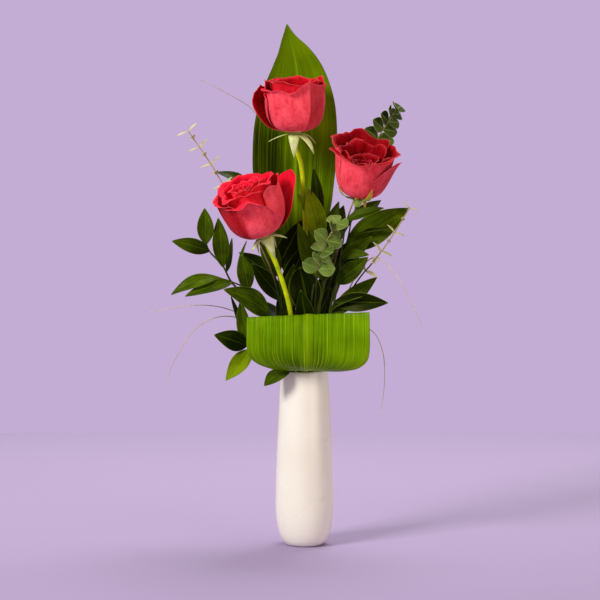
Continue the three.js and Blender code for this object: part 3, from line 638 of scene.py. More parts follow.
def leafPlace(base, tip, width, phase, face=(0, -1, 0.25), arch=0, fold=0.25, blunt=0, wave=0.1):
    start, end, out = Vector(base), Vector(tip), Vector(face)
    length = (end - start).length
    ahead = (end - start).normalized()
    out = (out - ahead * out.dot(ahead)).normalized()
    side = -out.cross(ahead).normalized()

    def place(u, v):
        outline = max(math.sin(math.pi * v ** mix(0.86, 1.0, blunt)), 0) ** mix(0.85, 0.6, blunt)
        half = max(width / 2 * outline, mix(1.0, 0.35, v))
        crease = math.sqrt(u * u + 0.03) - 0.17
        lift = 4 * arch * v * (1 - v) + fold * half * crease + wave * half * u * math.sin(5 * v + phase)
        lift -= wave * 0.9 * half * v ** 3
        return start + ahead * (length * v) + side * (half * u) + out * lift

    return place


# "tone" is partly each leaf's own colour and partly painted shade: leaves deep in the bunch get low tones
def leaf(base, tip, width, tone=0.42, **form):  # "tone" runs from the darkest leaf, 0, to the lightest, 1
    return tone, {"base": base, "tip": tip, "width": width, **form}


def branch(node, seat, depth, route, leaves, kind, chance):
    radius = kind["radius"]
    stem = tube(stemPoints(seat, radius, depth, route), lambda v: radius * mix(1.0, 0.6, v ** 3), 60, kind["bark"])
    grown = []
    for tone, form in leaves:
        tone = clamp(tone + chance.uniform(-0.16, 0.16))
        grown.append(sheet(*kind["grid"], leafPlace(**form, phase=chance.uniform(0, 6)), tone))
    blades = joinUp(node + ".leaves", grown)
    blades.data.materials.append(kind["paint"])
    thicken(blades, kind["thickness"])
    finishPiece(joinUp(node + ".fine", [stem, blades]), node, kind["slot"])


ruscus = {
    "ruscus_left_upper": {
        "seat": (-0.92, -0.1), "depth": 90,
        "route": [(-40, -6, 58), (-76, -10, 93), (-85, -11, 110), (-100, -12, 127), (-103, -12, 136)],
        "leaves": [
            leaf((-102.6, -12, 133), (-104, -14, 171), 18, arch=2),
            leaf((-99, -12, 126), (-138, -22, 137), 17, arch=3),
            leaf((-85, -11, 109), (-90, -12, 161), 18, arch=3),
            leaf((-82, -10.5, 104), (-76, 4, 139), 13, face=(0.9, -0.4, 0.2)),
        ],
    },
    "ruscus_left_middle": {
        "seat": (-0.75, -0.42), "depth": 110,
        "route": [(-30, -11, 48), (-52, -17, 82), (-75, -20, 94), (-90, -21, 99)],
        "leaves": [
            leaf((-88, -21, 98.5), (-139, -27, 81), 17, arch=7, face=(0, -0.7, 0.7), tone=0.7),
            leaf((-74, -20, 94), (-124, -34, 80), 16, arch=4, face=(0.1, -0.8, 0.6)),
            leaf((-58, -18, 86), (-66, -20, 123), 18, arch=2),
            leaf((-66, -19, 91), (-60, -6, 137), 12, face=(-0.9, -0.5, 0.1), arch=4),
            leaf((-36, -12.5, 59), (-84, -42, 88), 29, arch=5, face=(0.1, -0.8, 0.6), tone=0.62),
        ],
    },
    "ruscus_left_lower": {
        "seat": (-0.62, -0.66), "depth": 70,
        "route": [(-30, -10.5, 17), (-54, -12, 22), (-63, -13, 30)],
        "leaves": [
            leaf((-61, -12.8, 28), (-67, -22, 75), 15, arch=2),
            leaf((-60, -12.8, 27), (-94, -32, 40), 22, arch=3),
            leaf((-56, -12.2, 23), (-82, -30, -8), 19, arch=4, tone=0.75),
            leaf((-60, -12.8, 27), (-77, -10, 79), 12, face=(0.8, -0.6, 0.1)),
        ],
    },
    "ruscus_front_low": {
        "seat": (-0.28, -0.93), "depth": 50,
        "route": [(-13.5, -18.5, 2.2), (-17, -22, 0.5)],
        "leaves": [leaf((-16, -21, 1), (-42, -35, -13), 21, arch=3, face=(-0.3, -0.7, 0.7), tone=0.6)],
    },
    "ruscus_right_upper": {
        "seat": (0.93, 0.1), "depth": 90,
        "route": [(28, 0, 70), (40, -6, 120), (46, -7, 142), (49, -7, 160)],
        "leaves": [
            leaf((48.7, -7, 158), (80.5, 9, 178.5), 15, face=(0.2, -0.7, 0.7)),
            leaf((42, -6.5, 127), (108, -14, 171), 33, arch=4, tone=0.6),
            leaf((45.6, -7, 140), (84.5, -28, 149), 14, face=(0, -0.25, 1), arch=2),
            leaf((38, -5, 112), (70, -26, 142), 18, arch=2),
        ],
    },
    "ruscus_right_lower": {
        "seat": (0.72, -0.5), "depth": 110,
        "route": [(24, -12, 48), (32, -16, 78), (36, -18, 108), (38, -19, 122), (41, -23, 144), (43, -31, 160)],
        "leaves": [
            leaf((42.8, -30.4, 159), (82, -43, 172), 13, arch=2, face=(0, -0.8, 0.6)),
            leaf((37.6, -18.9, 120), (67, -31, 123), 14, arch=3, face=(0, -0.8, 0.6)),
            leaf((34, -17, 92), (66, -34, 121), 20, arch=2),
            leaf((30, -15, 72), (87, -30, 73), 21, arch=4, tone=0.2),
            leaf((27, -13.5, 58), (76, -12, 99), 19, arch=3),
            leaf((27.4, -13.7, 62), (60, -36, 80), 11, face=(0, -0.2, 1), arch=2),
        ],
    },
    "ruscus_centre": {
        "seat": (0.12, -0.5), "depth": 100,
        "route": [(5, -9, 45), (8, -10, 80), (14, -12, 110), (18, -14, 134), (17, -15, 162)],
        "leaves": [
            leaf((17.8, -14, 132), (4, -18, 192), 22, arch=3, blunt=0.4, tone=0.85),
            leaf((11.5, -11, 96), (-7, -19, 156), 17, arch=3, tone=0.66),
            # painted shade: a dark leaf low in the middle of the bunch
            leaf((6.2, -9.4, 60), (-5, -18, 110), 35, arch=-5, blunt=0.8, tone=0.05),
            leaf((16, -12.8, 122), (36, -8, 178), 17, arch=2),
            leaf((17.4, -14.8, 156), (-8, -21, 186), 13, tone=0.75),
            leaf((17, -15, 160), (9, -17, 214), 13, arch=2, tone=0.3),
            leaf((12, -11.3, 100), (31, -27, 114), 20, arch=1),
            # painted shade: a dark leaf low in the middle of the bunch
            leaf((4.4, -8.9, 38), (-4, -17, 86), 20, tone=0.2),
        ],
    },
    "ruscus_left_behind": {
        "seat": (-0.55, 0.22), "depth": 90,
        "route": [(-20, 6, 60), (-30, 8, 110), (-45, 8, 160), (-57, 6, 195)],
        "leaves": [
            leaf((-56.5, 6, 193.6), (-92.5, 8, 208), 14, arch=3, face=(0, -0.7, 0.7)),
            leaf((-45, 8, 160), (-74, 12, 196), 19),
            leaf((-27, 7.6, 98), (-46, 6, 148), 20),
            # painted shade: these two leaves deep in the bunch are painted dark
            leaf((-29, 8, 106), (-2, 17, 158), 22, tone=0.12),
            leaf((-23, 6.9, 78), (2, 4, 134), 20, tone=0.12),
            leaf((-22, 6.6, 72), (-56, 14, 112), 20),
            leaf((-19.6, 6, 58), (-11, 0, 112), 18),
        ],
    },
    "ruscus_back_left": {
        "seat": (-0.66, 0.6), "depth": 80,
        "route": [(-20, 22, 45), (-30, 32, 90), (-34, 40, 135)],
        "leaves": [
            leaf((-21, 23, 52), (-60, 42, 66), 20, arch=4, face=(-0.2, 0.8, 0.6)),
            leaf((-26, 28, 72), (-10, 52, 108), 19, arch=3, face=(0, 1, 0.2)),
            leaf((-30, 32, 92), (-70, 44, 122), 21, arch=4, face=(-0.2, 0.9, 0.4)),
            leaf((-32, 36, 112), (-14, 54, 150), 18, arch=3, face=(0, 1, 0.2)),
            leaf((-34, 39.6, 133), (-46, 52, 178), 20, arch=3, face=(0, 1, 0.2)),
            leaf((-16, 17, 20), (-44, 52, 6), 20, arch=6, face=(-0.2, 0.5, 0.9)),
            leaf((-18, 19, 32), (-22, 10, 92), 22),
        ],
    },
    "ruscus_back_right": {
        "seat": (0.0, 0.9), "depth": 80,
        "route": [(6, 24, 40), (20, 32, 86), (28, 38, 130)],
        "leaves": [
            leaf((8, 25, 48), (46, 44, 62), 20, arch=4, face=(0.2, 0.8, 0.6)),
            leaf((14, 29, 68), (2, 54, 104), 18, arch=3, face=(0, 1, 0.2)),
            leaf((20, 32, 86), (60, 42, 112), 21, arch=4, face=(0.2, 0.9, 0.4)),
            leaf((24, 35, 108), (10, 56, 148), 18, arch=3, face=(0, 1, 0.2)),
            leaf((28, 37.6, 128), (42, 48, 172), 20, arch=3, face=(0, 1, 0.2)),
            leaf((3, 21, 20), (26, 56, 8), 20, arch=6, face=(0.2, 0.5, 0.9)),
            # painted shade: these three leaves deep in the back of the bunch are painted dark
            leaf((5, 23, 34), (28, 20, 86), 24, arch=2, tone=0.1),
            leaf((9, 26, 52), (40, 20, 120), 25, tone=0.1),
            leaf((18, 31, 80), (52, 14, 140), 20, tone=0.15),
            leaf((11, 27, 58), (-10, 32, 116), 24, arch=-2),
        ],
    },
}
ruscusKind = {
    "radius": 1.3, "thickness": 0.6, "grid": (6, 12), "slot": "ruscus",
    "bark": finishes["twig"], "paint": finishes["ruscus"],
}
for number, (node, shape) in enumerate(ruscus.items()):
    branch(node, **shape, kind=ruscusKind, chance=random.Random(number))
print("ruscus twigs:", len(ruscus))

# Eucalyptus: leaves in pairs, each pair turned "twist" degrees against the last.
# "facing" is 0 where the leaves lie across the sprig and 1 where they look to the front.


def pairedLeaves(pairs, length, width, facing, taper=0, sweep=0.25, twist=90, blunt=0.5, tone=0.5):
    front = Vector((0.1, -1, 0.25))
    leaves = []
    for k, at in enumerate(pairs):
        ahead = (Vector(pairs[min(k + 1, len(pairs) - 1)]) - Vector(pairs[max(k - 1, 0)])).normalized()
        across = Quaternion(ahead, math.radians(twist * k)) @ front.cross(ahead).normalized()
        size = 1 - taper * k / len(pairs)
        for sign in (-1, 1):
            way = (across * sign + ahead * sweep).normalized()
            tip = Vector(at) + way * length * size
            face = ahead.lerp(front, facing)
            leaves.append(leaf(at, tip, width * size, tone, face=face, fold=0.1, blunt=blunt, arch=0.8))
    return leaves


eucalyptus = {
    "eucalyptus_left": {
        "paint": "paleEucalyptus",
        "seat": (-0.9, 0.26), "depth": 60,
        "route": [(-30, -2, 90), (-56, -9, 150), (-84, -12, 194), (-97, -12, 216), (-121, -11, 251)],
        "leaves": {
            "pairs": [
                (-84, -12, 194), (-91.6, -12.2, 206), (-97, -12, 216), (-103.3, -11.8, 225), (-109, -11.6, 233.6),
                (-115.3, -11.3, 242.6), (-120.4, -11, 250),
            ],
            "length": 13, "width": 5, "facing": 0.3, "tone": 0.8,
        },
    },
    "eucalyptus_right_tall": {
        "seat": (0.68, -0.02), "depth": 60,
        "route": [(24, 4, 80), (42, 8, 150), (62, 9, 205), (74, 6, 238), (96, 2, 274)],
        "leaves": {
            "pairs": [
                (68, 7.6, 222), (72, 6.6, 232), (76.5, 5.7, 242.5), (82, 4.7, 252.5), (87, 3.6, 260.4),
                (91.6, 2.8, 267.6), (95.6, 2, 273.4),
            ],
            "length": 21, "width": 19, "taper": 0.15, "twist": 14, "facing": 0.85, "blunt": 0.3, "tone": 0.22,
        },
    },
    "eucalyptus_centre": {
        "seat": (0.42, -0.6), "depth": 70,
        "route": [(9, -15, 48), (11, -22, 72), (13, -31, 100), (16, -35, 118), (23, -38, 138), (34, -38, 156)],
        "leaves": {
            "pairs": [
                (14, -33, 108), (15.8, -35, 117), (18.6, -36.6, 127), (23, -38, 138), (28.7, -38.3, 148),
                (33.6, -38, 155.4),
            ],
            "length": 18, "width": 19, "taper": 0.15, "twist": 63, "facing": 0.8, "blunt": 1, "tone": 0.55,
        },
    },
    "eucalyptus_right_thin": {
        "paint": "paleEucalyptus",
        "seat": (0.9, -0.26), "depth": 60,
        "route": [
            (26, -2, 40), (44, -3, 75), (52, -4, 89), (61, -19, 103), (70, -28, 114), (89, -31, 140), (109, -29, 172),
        ],
        "leaves": {
            "pairs": [
                (63.5, -21.8, 106), (71, -28.4, 115.4), (79, -30.5, 126.6), (86, -31, 136), (93, -31, 146),
                (101, -30.2, 158.6), (108.4, -29, 171),
            ],
            "length": 14, "width": 6, "taper": 0.35, "facing": 0.3, "blunt": 0.3, "tone": 0.75,
        },
    },
}
eucalyptusKind = dict(radius=0.9, thickness=0.5, grid=(6, 8), slot="eucalyptus", bark=finishes["sprig"])
for number, (node, shape) in enumerate(eucalyptus.items(), 50):
    kind = {**eucalyptusKind, "paint": finishes[shape.pop("paint", "eucalyptus")]}
    branch(node, **{**shape, "leaves": pairedLeaves(**shape["leaves"])}, kind=kind, chance=random.Random(number))
print("eucalyptus sprigs:", len(eucalyptus))

# ---- Bear grass: long thin blades that arch out of the bouquet ----

grass = {
    "width": 1.5, "tipWidth": 0.5, "thickness": 0.45, "reach": 0.9, "depth": 60, "lies": (0.25, -0.95, 0.15),
    "blades": {
        "grass_left_high": (
            (-0.34, 0.93), [(-12, 33, 90), (-20, 40, 190), (-50, 38, 268), (-84, 20, 292), (-110, 6, 305)],
        ),
        "grass_left_middle": (
            (-0.9, 0.08), [(-46, 2, 44), (-74, 1, 62), (-100, -10, 69), (-124, -18, 69), (-162, -24, 63)],
        ),
        "grass_left_low": (
            (-0.86, -0.28),
            [
                (-46, -4, 42), (-72, -3, 56), (-95, -14, 56), (-114, -22, 45), (-127, -24, 27), (-138, -25, 7),
                (-145, -26, -15),
            ],
        ),
        "grass_right_high": (
            (0.98, -0.06),
            [
                (42, -7, 75), (62, -12, 112), (74, -16, 120), (87, -20, 111), (101, -24, 93), (111, -26, 73),
                (120, -28, 54), (122, -28, 44),
            ],
        ),
        "grass_right_low": (
            (0.86, -0.42),
            [(40, -11, 36), (62, -10, 46), (74, -10, 39), (82, -12, 20), (84, -14, -4), (82, -15, -28), (77, -16, -50)],
        ),
    },
}


def grassBlade(node, seat, route):
    walk = smoothPath(stemPoints(seat, grass["reach"], grass["depth"], route))

    def place(u, v):
        ahead = heading(walk, v).normalized()
        side = ahead.cross(Vector(grass["lies"])).normalized()
        up = side.cross(ahead)
        half = mix(grass["width"], grass["tipWidth"], v ** 2) / 2
        return walk(v) + side * half * u - up * 0.3 * half * (1 - u * u)

    blade = sheet(2, 90, place)
    blade.data.materials.append(finishes["straw"])
    blade.name = node + ".fine"
    finishPiece(thicken(blade, grass["thickness"]), node, "bear_grass")


for node, (seat, route) in grass["blades"].items():
    grassBlade(node, seat, route)
print("grass blades:", len(grass["blades"]))

# ---- The tall broad leaf behind the roses ----


def broadLeaf(node, shape, place, tone, paint):
    blade = sheet(*shape["grid"], place, tone)
    blade.name = node + ".fine"
    blade.data.materials.append(finishes[paint])
    finishPiece(thicken(blade, shape["thickness"]), node, "broad_leaf")


tallLeaf = {
    "seat": (-0.3, 0.72), "depth": 120,
    "route": [
        (-6, 17, 60), (-9, 22, 130), (-11, 26, 205), (-9.7, 28, 245), (-7.6, 28, 285), (-8.2, 26, 312),
        (-11.3, 23.5, 331), (-15.8, 20.5, 347), (-18.4, 18, 363),
    ],
    "halfWidth": [
        (60, 2.4), (90, 8), (130, 26), (170, 39), (210, 44), (245, 44.6), (265, 43), (285, 39.5), (306, 32.5),
        (326, 23), (336, 16.3), (346, 9), (357, 3.2), (363, 0.5),
    ],
    "broad": 45, "cup": 0.16, "ridge": 2.2, "ridgeWidth": 0.07, "pleat": 0.3, "pleats": 44, "ripple": 1.2, "wave": 21,
    "stalk": 2.4, "thickness": 0.8, "grid": (36, 96),
}


def makeTallLeaf():
    walk = smoothPath(stemPoints(tallLeaf["seat"], tallLeaf["stalk"], tallLeaf["depth"], tallLeaf["route"]))

    def place(u, v):
        at = walk(v)
        spread = (-9, -4, 0, 4, 9) if 90 < at.z < 350 else (0,)  # evened out, but not at the ends
        half = sum(through(tallLeaf["halfWidth"], at.z + d) for d in spread) / len(spread)
        side = heading(walk, v).cross(Vector((0, 1, 0))).normalized()
        broad = half / tallLeaf["broad"]
        crease = tallLeaf["ridge"] * broad * math.exp(-((u / tallLeaf["ridgeWidth"]) ** 2))  # the midrib
        pleat = tallLeaf["pleat"] * broad * math.cos(tallLeaf["pleats"] * u) * (1 - u * u)
        ripple = tallLeaf["ripple"] * broad * u * u * math.sin(at.z / tallLeaf["wave"] + (1.5 if u > 0 else 0))
        return at - side * (half * u) + Vector((0, crease + pleat + ripple - tallLeaf["cup"] * half * u * u, 0))

    def tone(u, v):  # painted shade: the lower left, turned from the light, is painted dark, and the tone rises a little from left to right
        height = walk(v).z
        paintedShade = smooth((-0.15 - u) / 0.3) * smooth((height - 165) / 40) * smooth((282 - height) / 40)
        return 0.56 - 0.5 * paintedShade + 0.1 * u

    broadLeaf("aspidistra_tall_leaf", tallLeaf, place, tone, "tall")


makeTallLeaf()

# ---- The broad leaf that comes over the lip and is rolled up along the mouth ----

rolledLeaf = {
    "seat": (0, -0.99), "depth": 45, "stalk": 1.6, "stalkHalf": 2, "shift": 3.7, "middle": 37, "flare": 0.11,
    "route": [  # y, z and half width
        (-20.4, 1.9, 4), (-25, 2.4, 10), (-32, 2.6, 27), (-40, 4.5, 39), (-48.5, 9.5, 53), (-54.5, 18, 61.5),
        (-57, 30, 63.5), (-56, 43, 63.5), (-50.5, 54.5, 63.5), (-41, 61, 63.5), (-30, 59, 63.5), (-23.5, 50, 63.5),
        (-22, 38, 63.5), (-26, 25.5, 63.5), (-35, 21, 63.5), (-44.5, 26, 63.5), (-48.5, 37, 63.5), (-44, 47.5, 58),
        (-35, 50, 30),
    ],
    "pleat": 0.25, "pleats": 46, "ridge": 1.2, "ridgeWidth": 0.06, "thickness": 0.8, "grid": (44, 110),
}


def makeRolledLeaf():
    inVase = stemPoints(rolledLeaf["seat"], rolledLeaf["stalk"], rolledLeaf["depth"], [])
    stalk = [(rolledLeaf["stalkHalf"], point.y, point.z) for point in inVase]
    walk = smoothPath(stalk + [(half, y, z) for y, z, half in rolledLeaf["route"]])  # its x is the half width
    widest = max(half for _, _, half in rolledLeaf["route"])

    def place(u, v):
        half, y, z = walk(v)
        rolled = smooth(half / widest)
        across = half * u / widest
        grow = 1 + rolledLeaf["flare"] * rolled * across
        height = rolledLeaf["middle"] + (z - rolledLeaf["middle"]) * grow
        at = Vector((half * u + rolledLeaf["shift"] * rolled, y * mix(1, grow, 0.3), height))
        ahead = heading(walk, v)
        out = Vector((0, ahead.z, -ahead.y)).normalized()
        ease = rolled * (1 - u ** 6)
        pleat = rolledLeaf["pleat"] * ease * math.cos(rolledLeaf["pleats"] * u)
        return at + out * (pleat - rolledLeaf["ridge"] * ease * math.exp(-((u / rolledLeaf["ridgeWidth"]) ** 2)))

    broadLeaf("aspidistra_rolled_leaf", rolledLeaf, place, 0.5, "rolled")


makeRolledLeaf()
print("broad leaves laid")

# ---- Roses ----

# A petal is centred "turn" degrees round the bloom and spans "span" each way. "open" leans it out, mostly near the
# rim where "late" is high, "swell" pushes its side out, higher up where "high" is more, and "gap" sets it off.
# "tall" scales its height, "point" brings its rim to a point, "corner" rounds it, "sag" lowers its middle and "cut"
# its right side. "flare" and "lift" push its left and right edges out, and "rise" and "peak" raise them. The rim
# rolls outwards by "roll" radians with a curl of radius "curl", over the last "share" of the petal. "ripple"
# ruffles the rim and "dent" dimples the side. A cup's "low" fills it out near its foot, and "full" widens a
# rose's middle.
bloom = {
    "heartRadius": 14.2, "innerBase": 4.6, "innerRise": 4.5, "innerBelly": 20, "innerLow": 1.06, "innerSpan": 74,
    "outerBase": 7.6, "guardGap": 4, "spiral": 1.1, "reach": 1.05, "petal": 0.5, "petalGrid": (18, 20),
    "hip": [(2.6, -12), (3.1, -11.6), (3.6, -10.5), (5, -8), (5.9, -5), (6, -2.5), (5.6, 0.5), (4.5, 2.2)],
    "hipLength": 12, "hipSides": 20, "stem": 2.6, "stemWaist": 2.45, "knot": 0.15, "sepal": 0.7, "sepalGrid": (6, 12),
}


def petal(turn, span=bloom["innerSpan"], **shape):
    return {"turn": turn, "span": span, **shape}


# A sepal's row is its turn, length and width, how far it splays, and how far off the cup it hugs it.
roses = {
    "rose_top": {
        "fold": "fold", "inside": "inside", "warm": 0.0,
        "at": (-9.5, -16, 251), "towards": (-0.01, -0.14, 1),
        "stem": dict(seat=(-0.1, -0.08), depth=170, route=[(1, -5, 90), (0.5, -8, 160), (-4, -13, 218)]),
        "cup": dict(low=1.28, height=51, belly=29.5, rim=30.5, innerHeight=45),
        "outer": [
            petal(
                -112, 50, roll=2.0, curl=3.8, sag=0.05, corner=0.02, tall=0.98, share=0.17, flare=2.6, lift=2.4,
                peak=10, rise=1,
            ),
            # painted shade: this right-hand petal is painted darker
            petal(-22, 54, roll=1.3, curl=2.6, corner=0.07, tall=1.02, share=0.14, rise=7, peak=1, outside="halfShade"),
            petal(62, 58, tall=1.12, roll=1.2, corner=0.26, ripple=0.9),
            petal(150, 57, tall=1.1, roll=1.3, corner=0.26, ripple=0.9),
        ],
        "guards": [petal(146, 46, open=1, swell=9, high=2, tall=0.98, roll=0.5, curl=4, ripple=1.6)],
        "full": 1.17,
        "inner": dict(roll=1.6, ripple=1.3, tall=1.12, swell=1),
        "innerOwn": (petal(-130), petal(-10), petal(110)),
        "heart": dict(tall=1.03, ripple=1.2, sink=0.012, wraps=11, stray=0.8),
        "sepals": [(-100, 27, 12), (-48, 29, 9, 12), (20, 20, 4, 8), (95, 24, 6, 3), (185, 18, 4, 12)],
    },
    "rose_right": {
        # painted shade: this rose's insides use the copy painted darker
        "fold": "fold", "inside": "depth", "warm": 1.0,
        "at": (56, -26, 184), "towards": (0.12, -0.3, 0.95),
        # painted shade: this stem is painted dark where it runs through the foliage
        "stem": dict(
            finish="roseStemShaded", seat=(0.36, -0.14), depth=170, route=[(13, -5, 60), (25, -8, 110), (42, -17, 150)],
        ),
        "cup": dict(low=1.16, height=55, belly=26.5, rim=34, innerHeight=49),
        "outer": [
            petal(-94, 72, roll=2.2, curl=3.4, sag=0.05, corner=0.04, ripple=1.5, share=0.16),
            # painted shade: this right-hand petal is painted darker
            petal(0, 56, roll=1.3, corner=0.06, outside="halfShade"),
            petal(92, 58, tall=1.14, roll=0.8, curl=4.0, ripple=2.4),
            petal(168, 50, tall=1.15, roll=1.7, curl=3.6, ripple=2.4, corner=0.06),
        ],
        # painted shade: this guard is painted darker
        "guards": [petal(-22, 46, open=11, late=4, tall=0.96, point=0.8, roll=0.4, curl=4, gap=-2.6, outside="halfShade")],
        "inner": dict(roll=1.4, curl=3.4, ripple=1.8, tall=0.98),
        "innerOwn": (petal(178, 58), petal(-50, 56, tall=0.84), petal(70, 60, tall=1.02)),
        "full": 1.08,
        "heart": dict(tall=0.8, ripple=1.6, sink=0.03, wraps=9, stray=1.2),
        "sepals": [
            (-150, 26, 8, 0, 2.6), (-98, 13, 5, 0, 2), (-66, 33, 8, 0, 3.4), (60, 24, 6, 5), (130, 24, 6, 0, 2.6),
        ],
    },
    "rose_left": {
        # painted light: this rose's folds and insides use the copies painted lighter
        "fold": "litFold", "inside": "insideLit", "warm": 0.0,
        "at": (-42.5, -44, 145), "towards": (-0.32, -0.26, 0.92),
        "stem": dict(seat=(-0.42, -0.32), depth=170, route=[(-13, -17, 52), (-19, -27, 82), (-31, -38, 118)]),
        "cup": dict(low=1.16, height=52, belly=31, rim=34, innerHeight=49),
        "outer": [
            petal(
                -92, 50, tall=1.05, roll=2.2, curl=4.2, sag=0.03, ripple=1.5, corner=0.1, cut=0.42, dent=2.4,
                share=0.2,
            ),
            petal(-8, 54, tall=1.08, roll=0.9, curl=3.0, ripple=1.2),
            petal(122, 66, tall=1.1, roll=1.5, curl=3.4, ripple=2.0),
            petal(188, 56, roll=1.5, ripple=1.2, outside="shadow"),
        ],
        "guards": [petal(26, 37, open=22, tall=1.2, point=0.85, roll=0.3, curl=4, gap=-1, inside="insideLit")],
        "inner": dict(roll=2.1, curl=3.6, ripple=2.6, dent=1.6),
        "innerOwn": (petal(-128, tall=1.04), petal(-10, tall=1.14), petal(110, tall=1.14)),
        "full": 1.25,
        "heart": dict(tall=1.16, ripple=3.2, sink=0.002, wraps=13, stray=1.8),
        "sepals": [(-68, 26, 12), (-10, 16, 6, 8), (60, 24, 6, 3), (140, 24, 6, 3), (215, 14, 6, 6)],
    },
}


def cupSide(cup, base, t):  # how far out and how high the cup's side is
    out = bezier(base, cup["belly"] * cup["low"], cup["belly"], cup["rim"], t)
    return out, bezier(0, cup["height"] * 0.04, cup["height"] * 0.6, cup["height"], t)


def petalPlace(
    head, cup, turn, span, chance, open=0, tall=1, point=0, sag=0, corner=0.12, swell=0, high=1, gap=0, cut=0, late=2,
    flare=0, lift=0, peak=0, rise=0, roll=1.4, curl=3.2, ripple=0.6, dent=0.7, share=0.13,
):
    drop = mix(corner, 0.45, point)
    phase = [chance.uniform(0, 6.28) for _ in range(5)]

    def profile(t, u):
        lean = open * t ** late
        r, z = cupSide(cup, cup["base"], t)
        r = gap + r + lean + cup["spiral"] * u * smooth(3 * t) + swell * math.sin(math.pi * t ** high) ** 2
        return r, cup["rise"] + z * tall * bloom["reach"] - 0.25 * lean

    def place(u, v):
        edge = (1 - drop * abs(u) ** mix(5, 1.4, point) - cut * max(u, 0) ** 1.6) * (1 - sag * (1 - u * u) ** 2)
        start = 1 - share * (1 - 0.35 * u * u) * (1 + 0.2 * math.sin(4 * u + phase[0]))
        t = min(v, start) * edge
        r, z = profile(t, u)
        if v > start:
            r0, z0 = profile(t - 0.02, u)
            long = math.hypot(r - r0, z - z0)
            aheadR, aheadZ = (r - r0) / long, (z - z0) / long
            uneven = 1 + 0.3 * math.sin(5 * u + phase[1]) + 0.2 * math.sin(11 * u + phase[0])
            bend = roll * (v - start) / (1 - start) * uneven
            size = curl * (1 + 0.25 * math.sin(3 * u + phase[2]) + 0.15 * math.sin(9 * u + phase[4]))
            r += size * (aheadR * math.sin(bend) + aheadZ * (1 - math.cos(bend)))
            z += size * (aheadZ * math.sin(bend) - aheadR * (1 - math.cos(bend)))
        ruffle = ripple * v ** 3 * (math.sin(7 * u + phase[3]) + 0.5 * math.sin(13 * u + phase[4]))
        r += ruffle + 0.34 * ripple * v ** 4 * math.sin(29 * u + phase[0])
        leftOut = flare * smooth((-u - 0.68) / 0.32) * smooth(1.6 * (v - 0.25))
        r += leftOut + lift * smooth((u - 0.8) / 0.2) * smooth(2 * v)
        z += (peak * smooth((u - 0.1) / 0.9) + rise * smooth((-u - 0.1) / 0.9)) * v ** 3
        z += 0.6 * ripple * v ** 2 * math.sin(6 * u + phase[4]) + 0.4 * ripple * v ** 6 * math.sin(21 * u + phase[2])
        dents = dent * math.sin(3.3 * u + 4 * v + phase[3]) * math.sin(2.1 * u - 3 * v + phase[2])
        r += dents * v * (1 - v) * 4
        r += 0.4 * math.sin(10 * u + 2.5 * v + phase[1]) * v * (1 - v) * 4 * smooth(2 * v)
        angle = math.radians(turn + span * u * mix(0.95, 1, smooth(1.6 * t)))
        return head(Vector((r * math.cos(angle), r * math.sin(angle), z)))

    return place


def petalPiece(name, places, sides):
    whole = joinUp(name, [sheet(*bloom["petalGrid"], one) for one in places])
    for key in sides:
        whole.data.materials.append(finishes[key])
    return thicken(whole, bloom["petal"], sides=3)


def heartPlaces(head, rose, chance):  # petals wound tighter and tighter round the middle
    shape, cup, wraps = rose["heart"], rose["cup"], rose["heart"]["wraps"]
    places = []
    for k in range(wraps):
        inward = k / wraps
        radius = bloom["heartRadius"] * rose["full"] * (1 - 0.9 * k / wraps) + chance.uniform(-1, 1) * shape["stray"]
        height = (cup["innerHeight"] - bloom["innerRise"]) * shape["tall"] * (1 - shape["sink"] * k)
        height += chance.uniform(-1, 1) * shape["stray"]
        own = {
            "low": bloom["innerLow"], "base": max(radius * 0.45, 1.2), "belly": radius * 1.02, "rim": radius * 0.98,
            "rise": bloom["innerRise"] + 1, "height": height, "spiral": bloom["spiral"] / 2,
        }
        places.append(petalPlace(
            head, own, 137.5 * k + 20, mix(80, 118, inward), chance, roll=mix(1.5, 0.4, inward),
            curl=mix(2.6, 1.2, inward), ripple=shape["ripple"] * mix(0.7, 0.25, inward), share=0.1,
        ))
    return places


def sepalPlace(head, cup, turn, length, width, splay=0, hug=0):
    angle = math.radians(turn)
    out = Vector((math.cos(angle), math.sin(angle), 0))
    side = Vector((-math.sin(angle), math.cos(angle), 0))
    far = length / (1.35 * cup["height"])  # a hugging one follows the cup up to here

    def along(v):
        if not hug:
            return bezier(4, 12, 12 + splay, 10 + splay * 1.5, v), bezier(-3, -2, -8, splay * 0.6 - length, v)
        r, z = cupSide(cup, bloom["outerBase"] - 2, far * v)
        return r + hug * smooth(3 * v), z * bloom["reach"] - 2.4 * (1 - v)

    def place(u, v):
        half = max(width / 2 * max(math.sin(math.pi * mix(0.28, 1, v)), 0) ** 0.8, 0.35)
        cupped = (0.22 if hug else -0.25) * half * u * u + 0.5 * math.sin(6 * v + turn) * v
        r, z = along(v)
        return head(out * (r + cupped) + side * half * u + Vector((0, 0, z)))

    return place


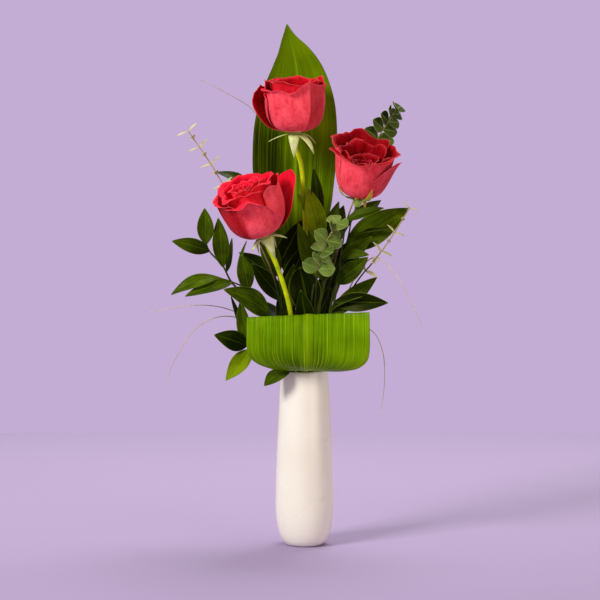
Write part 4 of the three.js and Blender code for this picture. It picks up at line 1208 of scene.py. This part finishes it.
def makeRose(name, rose, seed):
    chance = random.Random(seed)
    axis = Vector(rose["towards"]).normalized()
    turnIt = Vector((0, 0, 1)).rotation_difference(axis)
    at = Vector(rose["at"])
    cup = rose["cup"]

    def head(point):
        return at + turnIt @ point

    outer = {**cup, "base": bloom["outerBase"], "rise": 0, "spiral": bloom["spiral"]}
    middle = bloom["innerBelly"] * rose["full"]
    inner = {
        "low": bloom["innerLow"], "base": bloom["innerBase"], "belly": middle, "rim": middle,
        "rise": bloom["innerRise"], "height": cup["innerHeight"], "spiral": bloom["spiral"],
    }
    guard = {**outer, "spiral": 0}
    for size in ("base", "belly", "rim"):
        guard[size] += bloom["guardGap"]

    facing = rose["inside"]
    heart = petalPiece(name + "_heart.fine", heartPlaces(head, rose, chance), (rose["fold"], facing, "rim"))
    finishPiece(heart, name + "_heart", "petal")
    layers = [
        ("inner", [{**rose["inner"], **own} for own in rose["innerOwn"]], inner),
        ("outer", rose["outer"], outer),
        ("guard", rose["guards"], guard),
    ]
    for layer, petals, shape in layers:
        for k, one in enumerate(petals, 1):
            node = f"{name}_{layer}_petal_{k}"
            form = {key: value for key, value in one.items() if key not in ("outside", "inside")}
            outside = rose["fold"] if layer == "inner" else one.get("outside", "outside")
            place = petalPlace(head, shape, chance=chance, **form)
            piece = petalPiece(node + ".fine", [place], (outside, one.get("inside", facing), "rim"))
            finishPiece(piece, node, "petal")

    rows = [sheet(*bloom["sepalGrid"], sepalPlace(head, cup, *one), rose["warm"]) for one in rose["sepals"]]
    sepals = joinUp("sepals", rows)
    sepals.data.materials.append(finishes["calyx"])
    thicken(sepals, bloom["sepal"])
    hip = turned("hip", bloom["hip"], bloom["hipSides"], finishes["calyx"])
    for point in hip.data.vertices:
        point.co = inPlace(head(point.co / mm))
    finishPiece(joinUp(name + "_calyx.fine", [hip, sepals]), name + "_calyx", "calyx")

    top = at + axis * (-bloom["hipLength"] - vase["clearance"])
    stem = rose["stem"]
    points = stemPoints(stem["seat"], bloom["stem"], stem["depth"], stem["route"] + [top - axis * 4, top])
    green = finishes[stem.get("finish", "roseStem")]
    stalk = tube(points, lambda v: bloom["stemWaist"] + bloom["knot"] * math.cos(40 * v) ** 8, 120, green, 3)
    stalk.name = name + "_stem.fine"
    finishPiece(stalk, name + "_stem", "rose_stem")


for seed, (name, rose) in enumerate(roses.items(), 7):
    makeRose(name, rose, seed)
print("roses opened:", len(roses))

# ---- Floor ----

floor = dict(left=-4, right=4, front=-3, back=0.94)
bpy.ops.mesh.primitive_plane_add(size=1)
ground = bpy.context.object
ground.name = "floor"
for corner in ground.data.vertices:
    corner.co.x = floor["left"] if corner.co.x < 0 else floor["right"]
    corner.co.y = floor["front"] if corner.co.y < 0 else floor["back"]
paper, paperTree, paperShader = newFinish("pale paper", {"Roughness": 0.9, "Specular IOR Level": 0.1})
paperCloud = useEffect(paperTree, effects["patches"], {"Size": 3, "Grain": 400})
reach = addNode(paperTree, "SeparateXYZ", {0: onObject(paperTree)}).outputs[1]
# painted light: the paper is painted lighter towards the back, with soft patches
paperPaintedLight = timesPlus(paperTree, paperCloud["Patch"], 0.1, fade(paperTree, reach, -1.0, 0.9))
paperColour = ramp(paperTree, paperPaintedLight, [(0.0, (151, 134, 170)), (1.0, (182, 165, 203))])
paperTree.links.new(paperColour, paperShader.inputs["Base Color"])
ground.data.materials.append(paper)

for pattern in flatSheets.values():
    bpy.data.objects.remove(pattern)
bpy.ops.object.select_all(action="DESELECT")
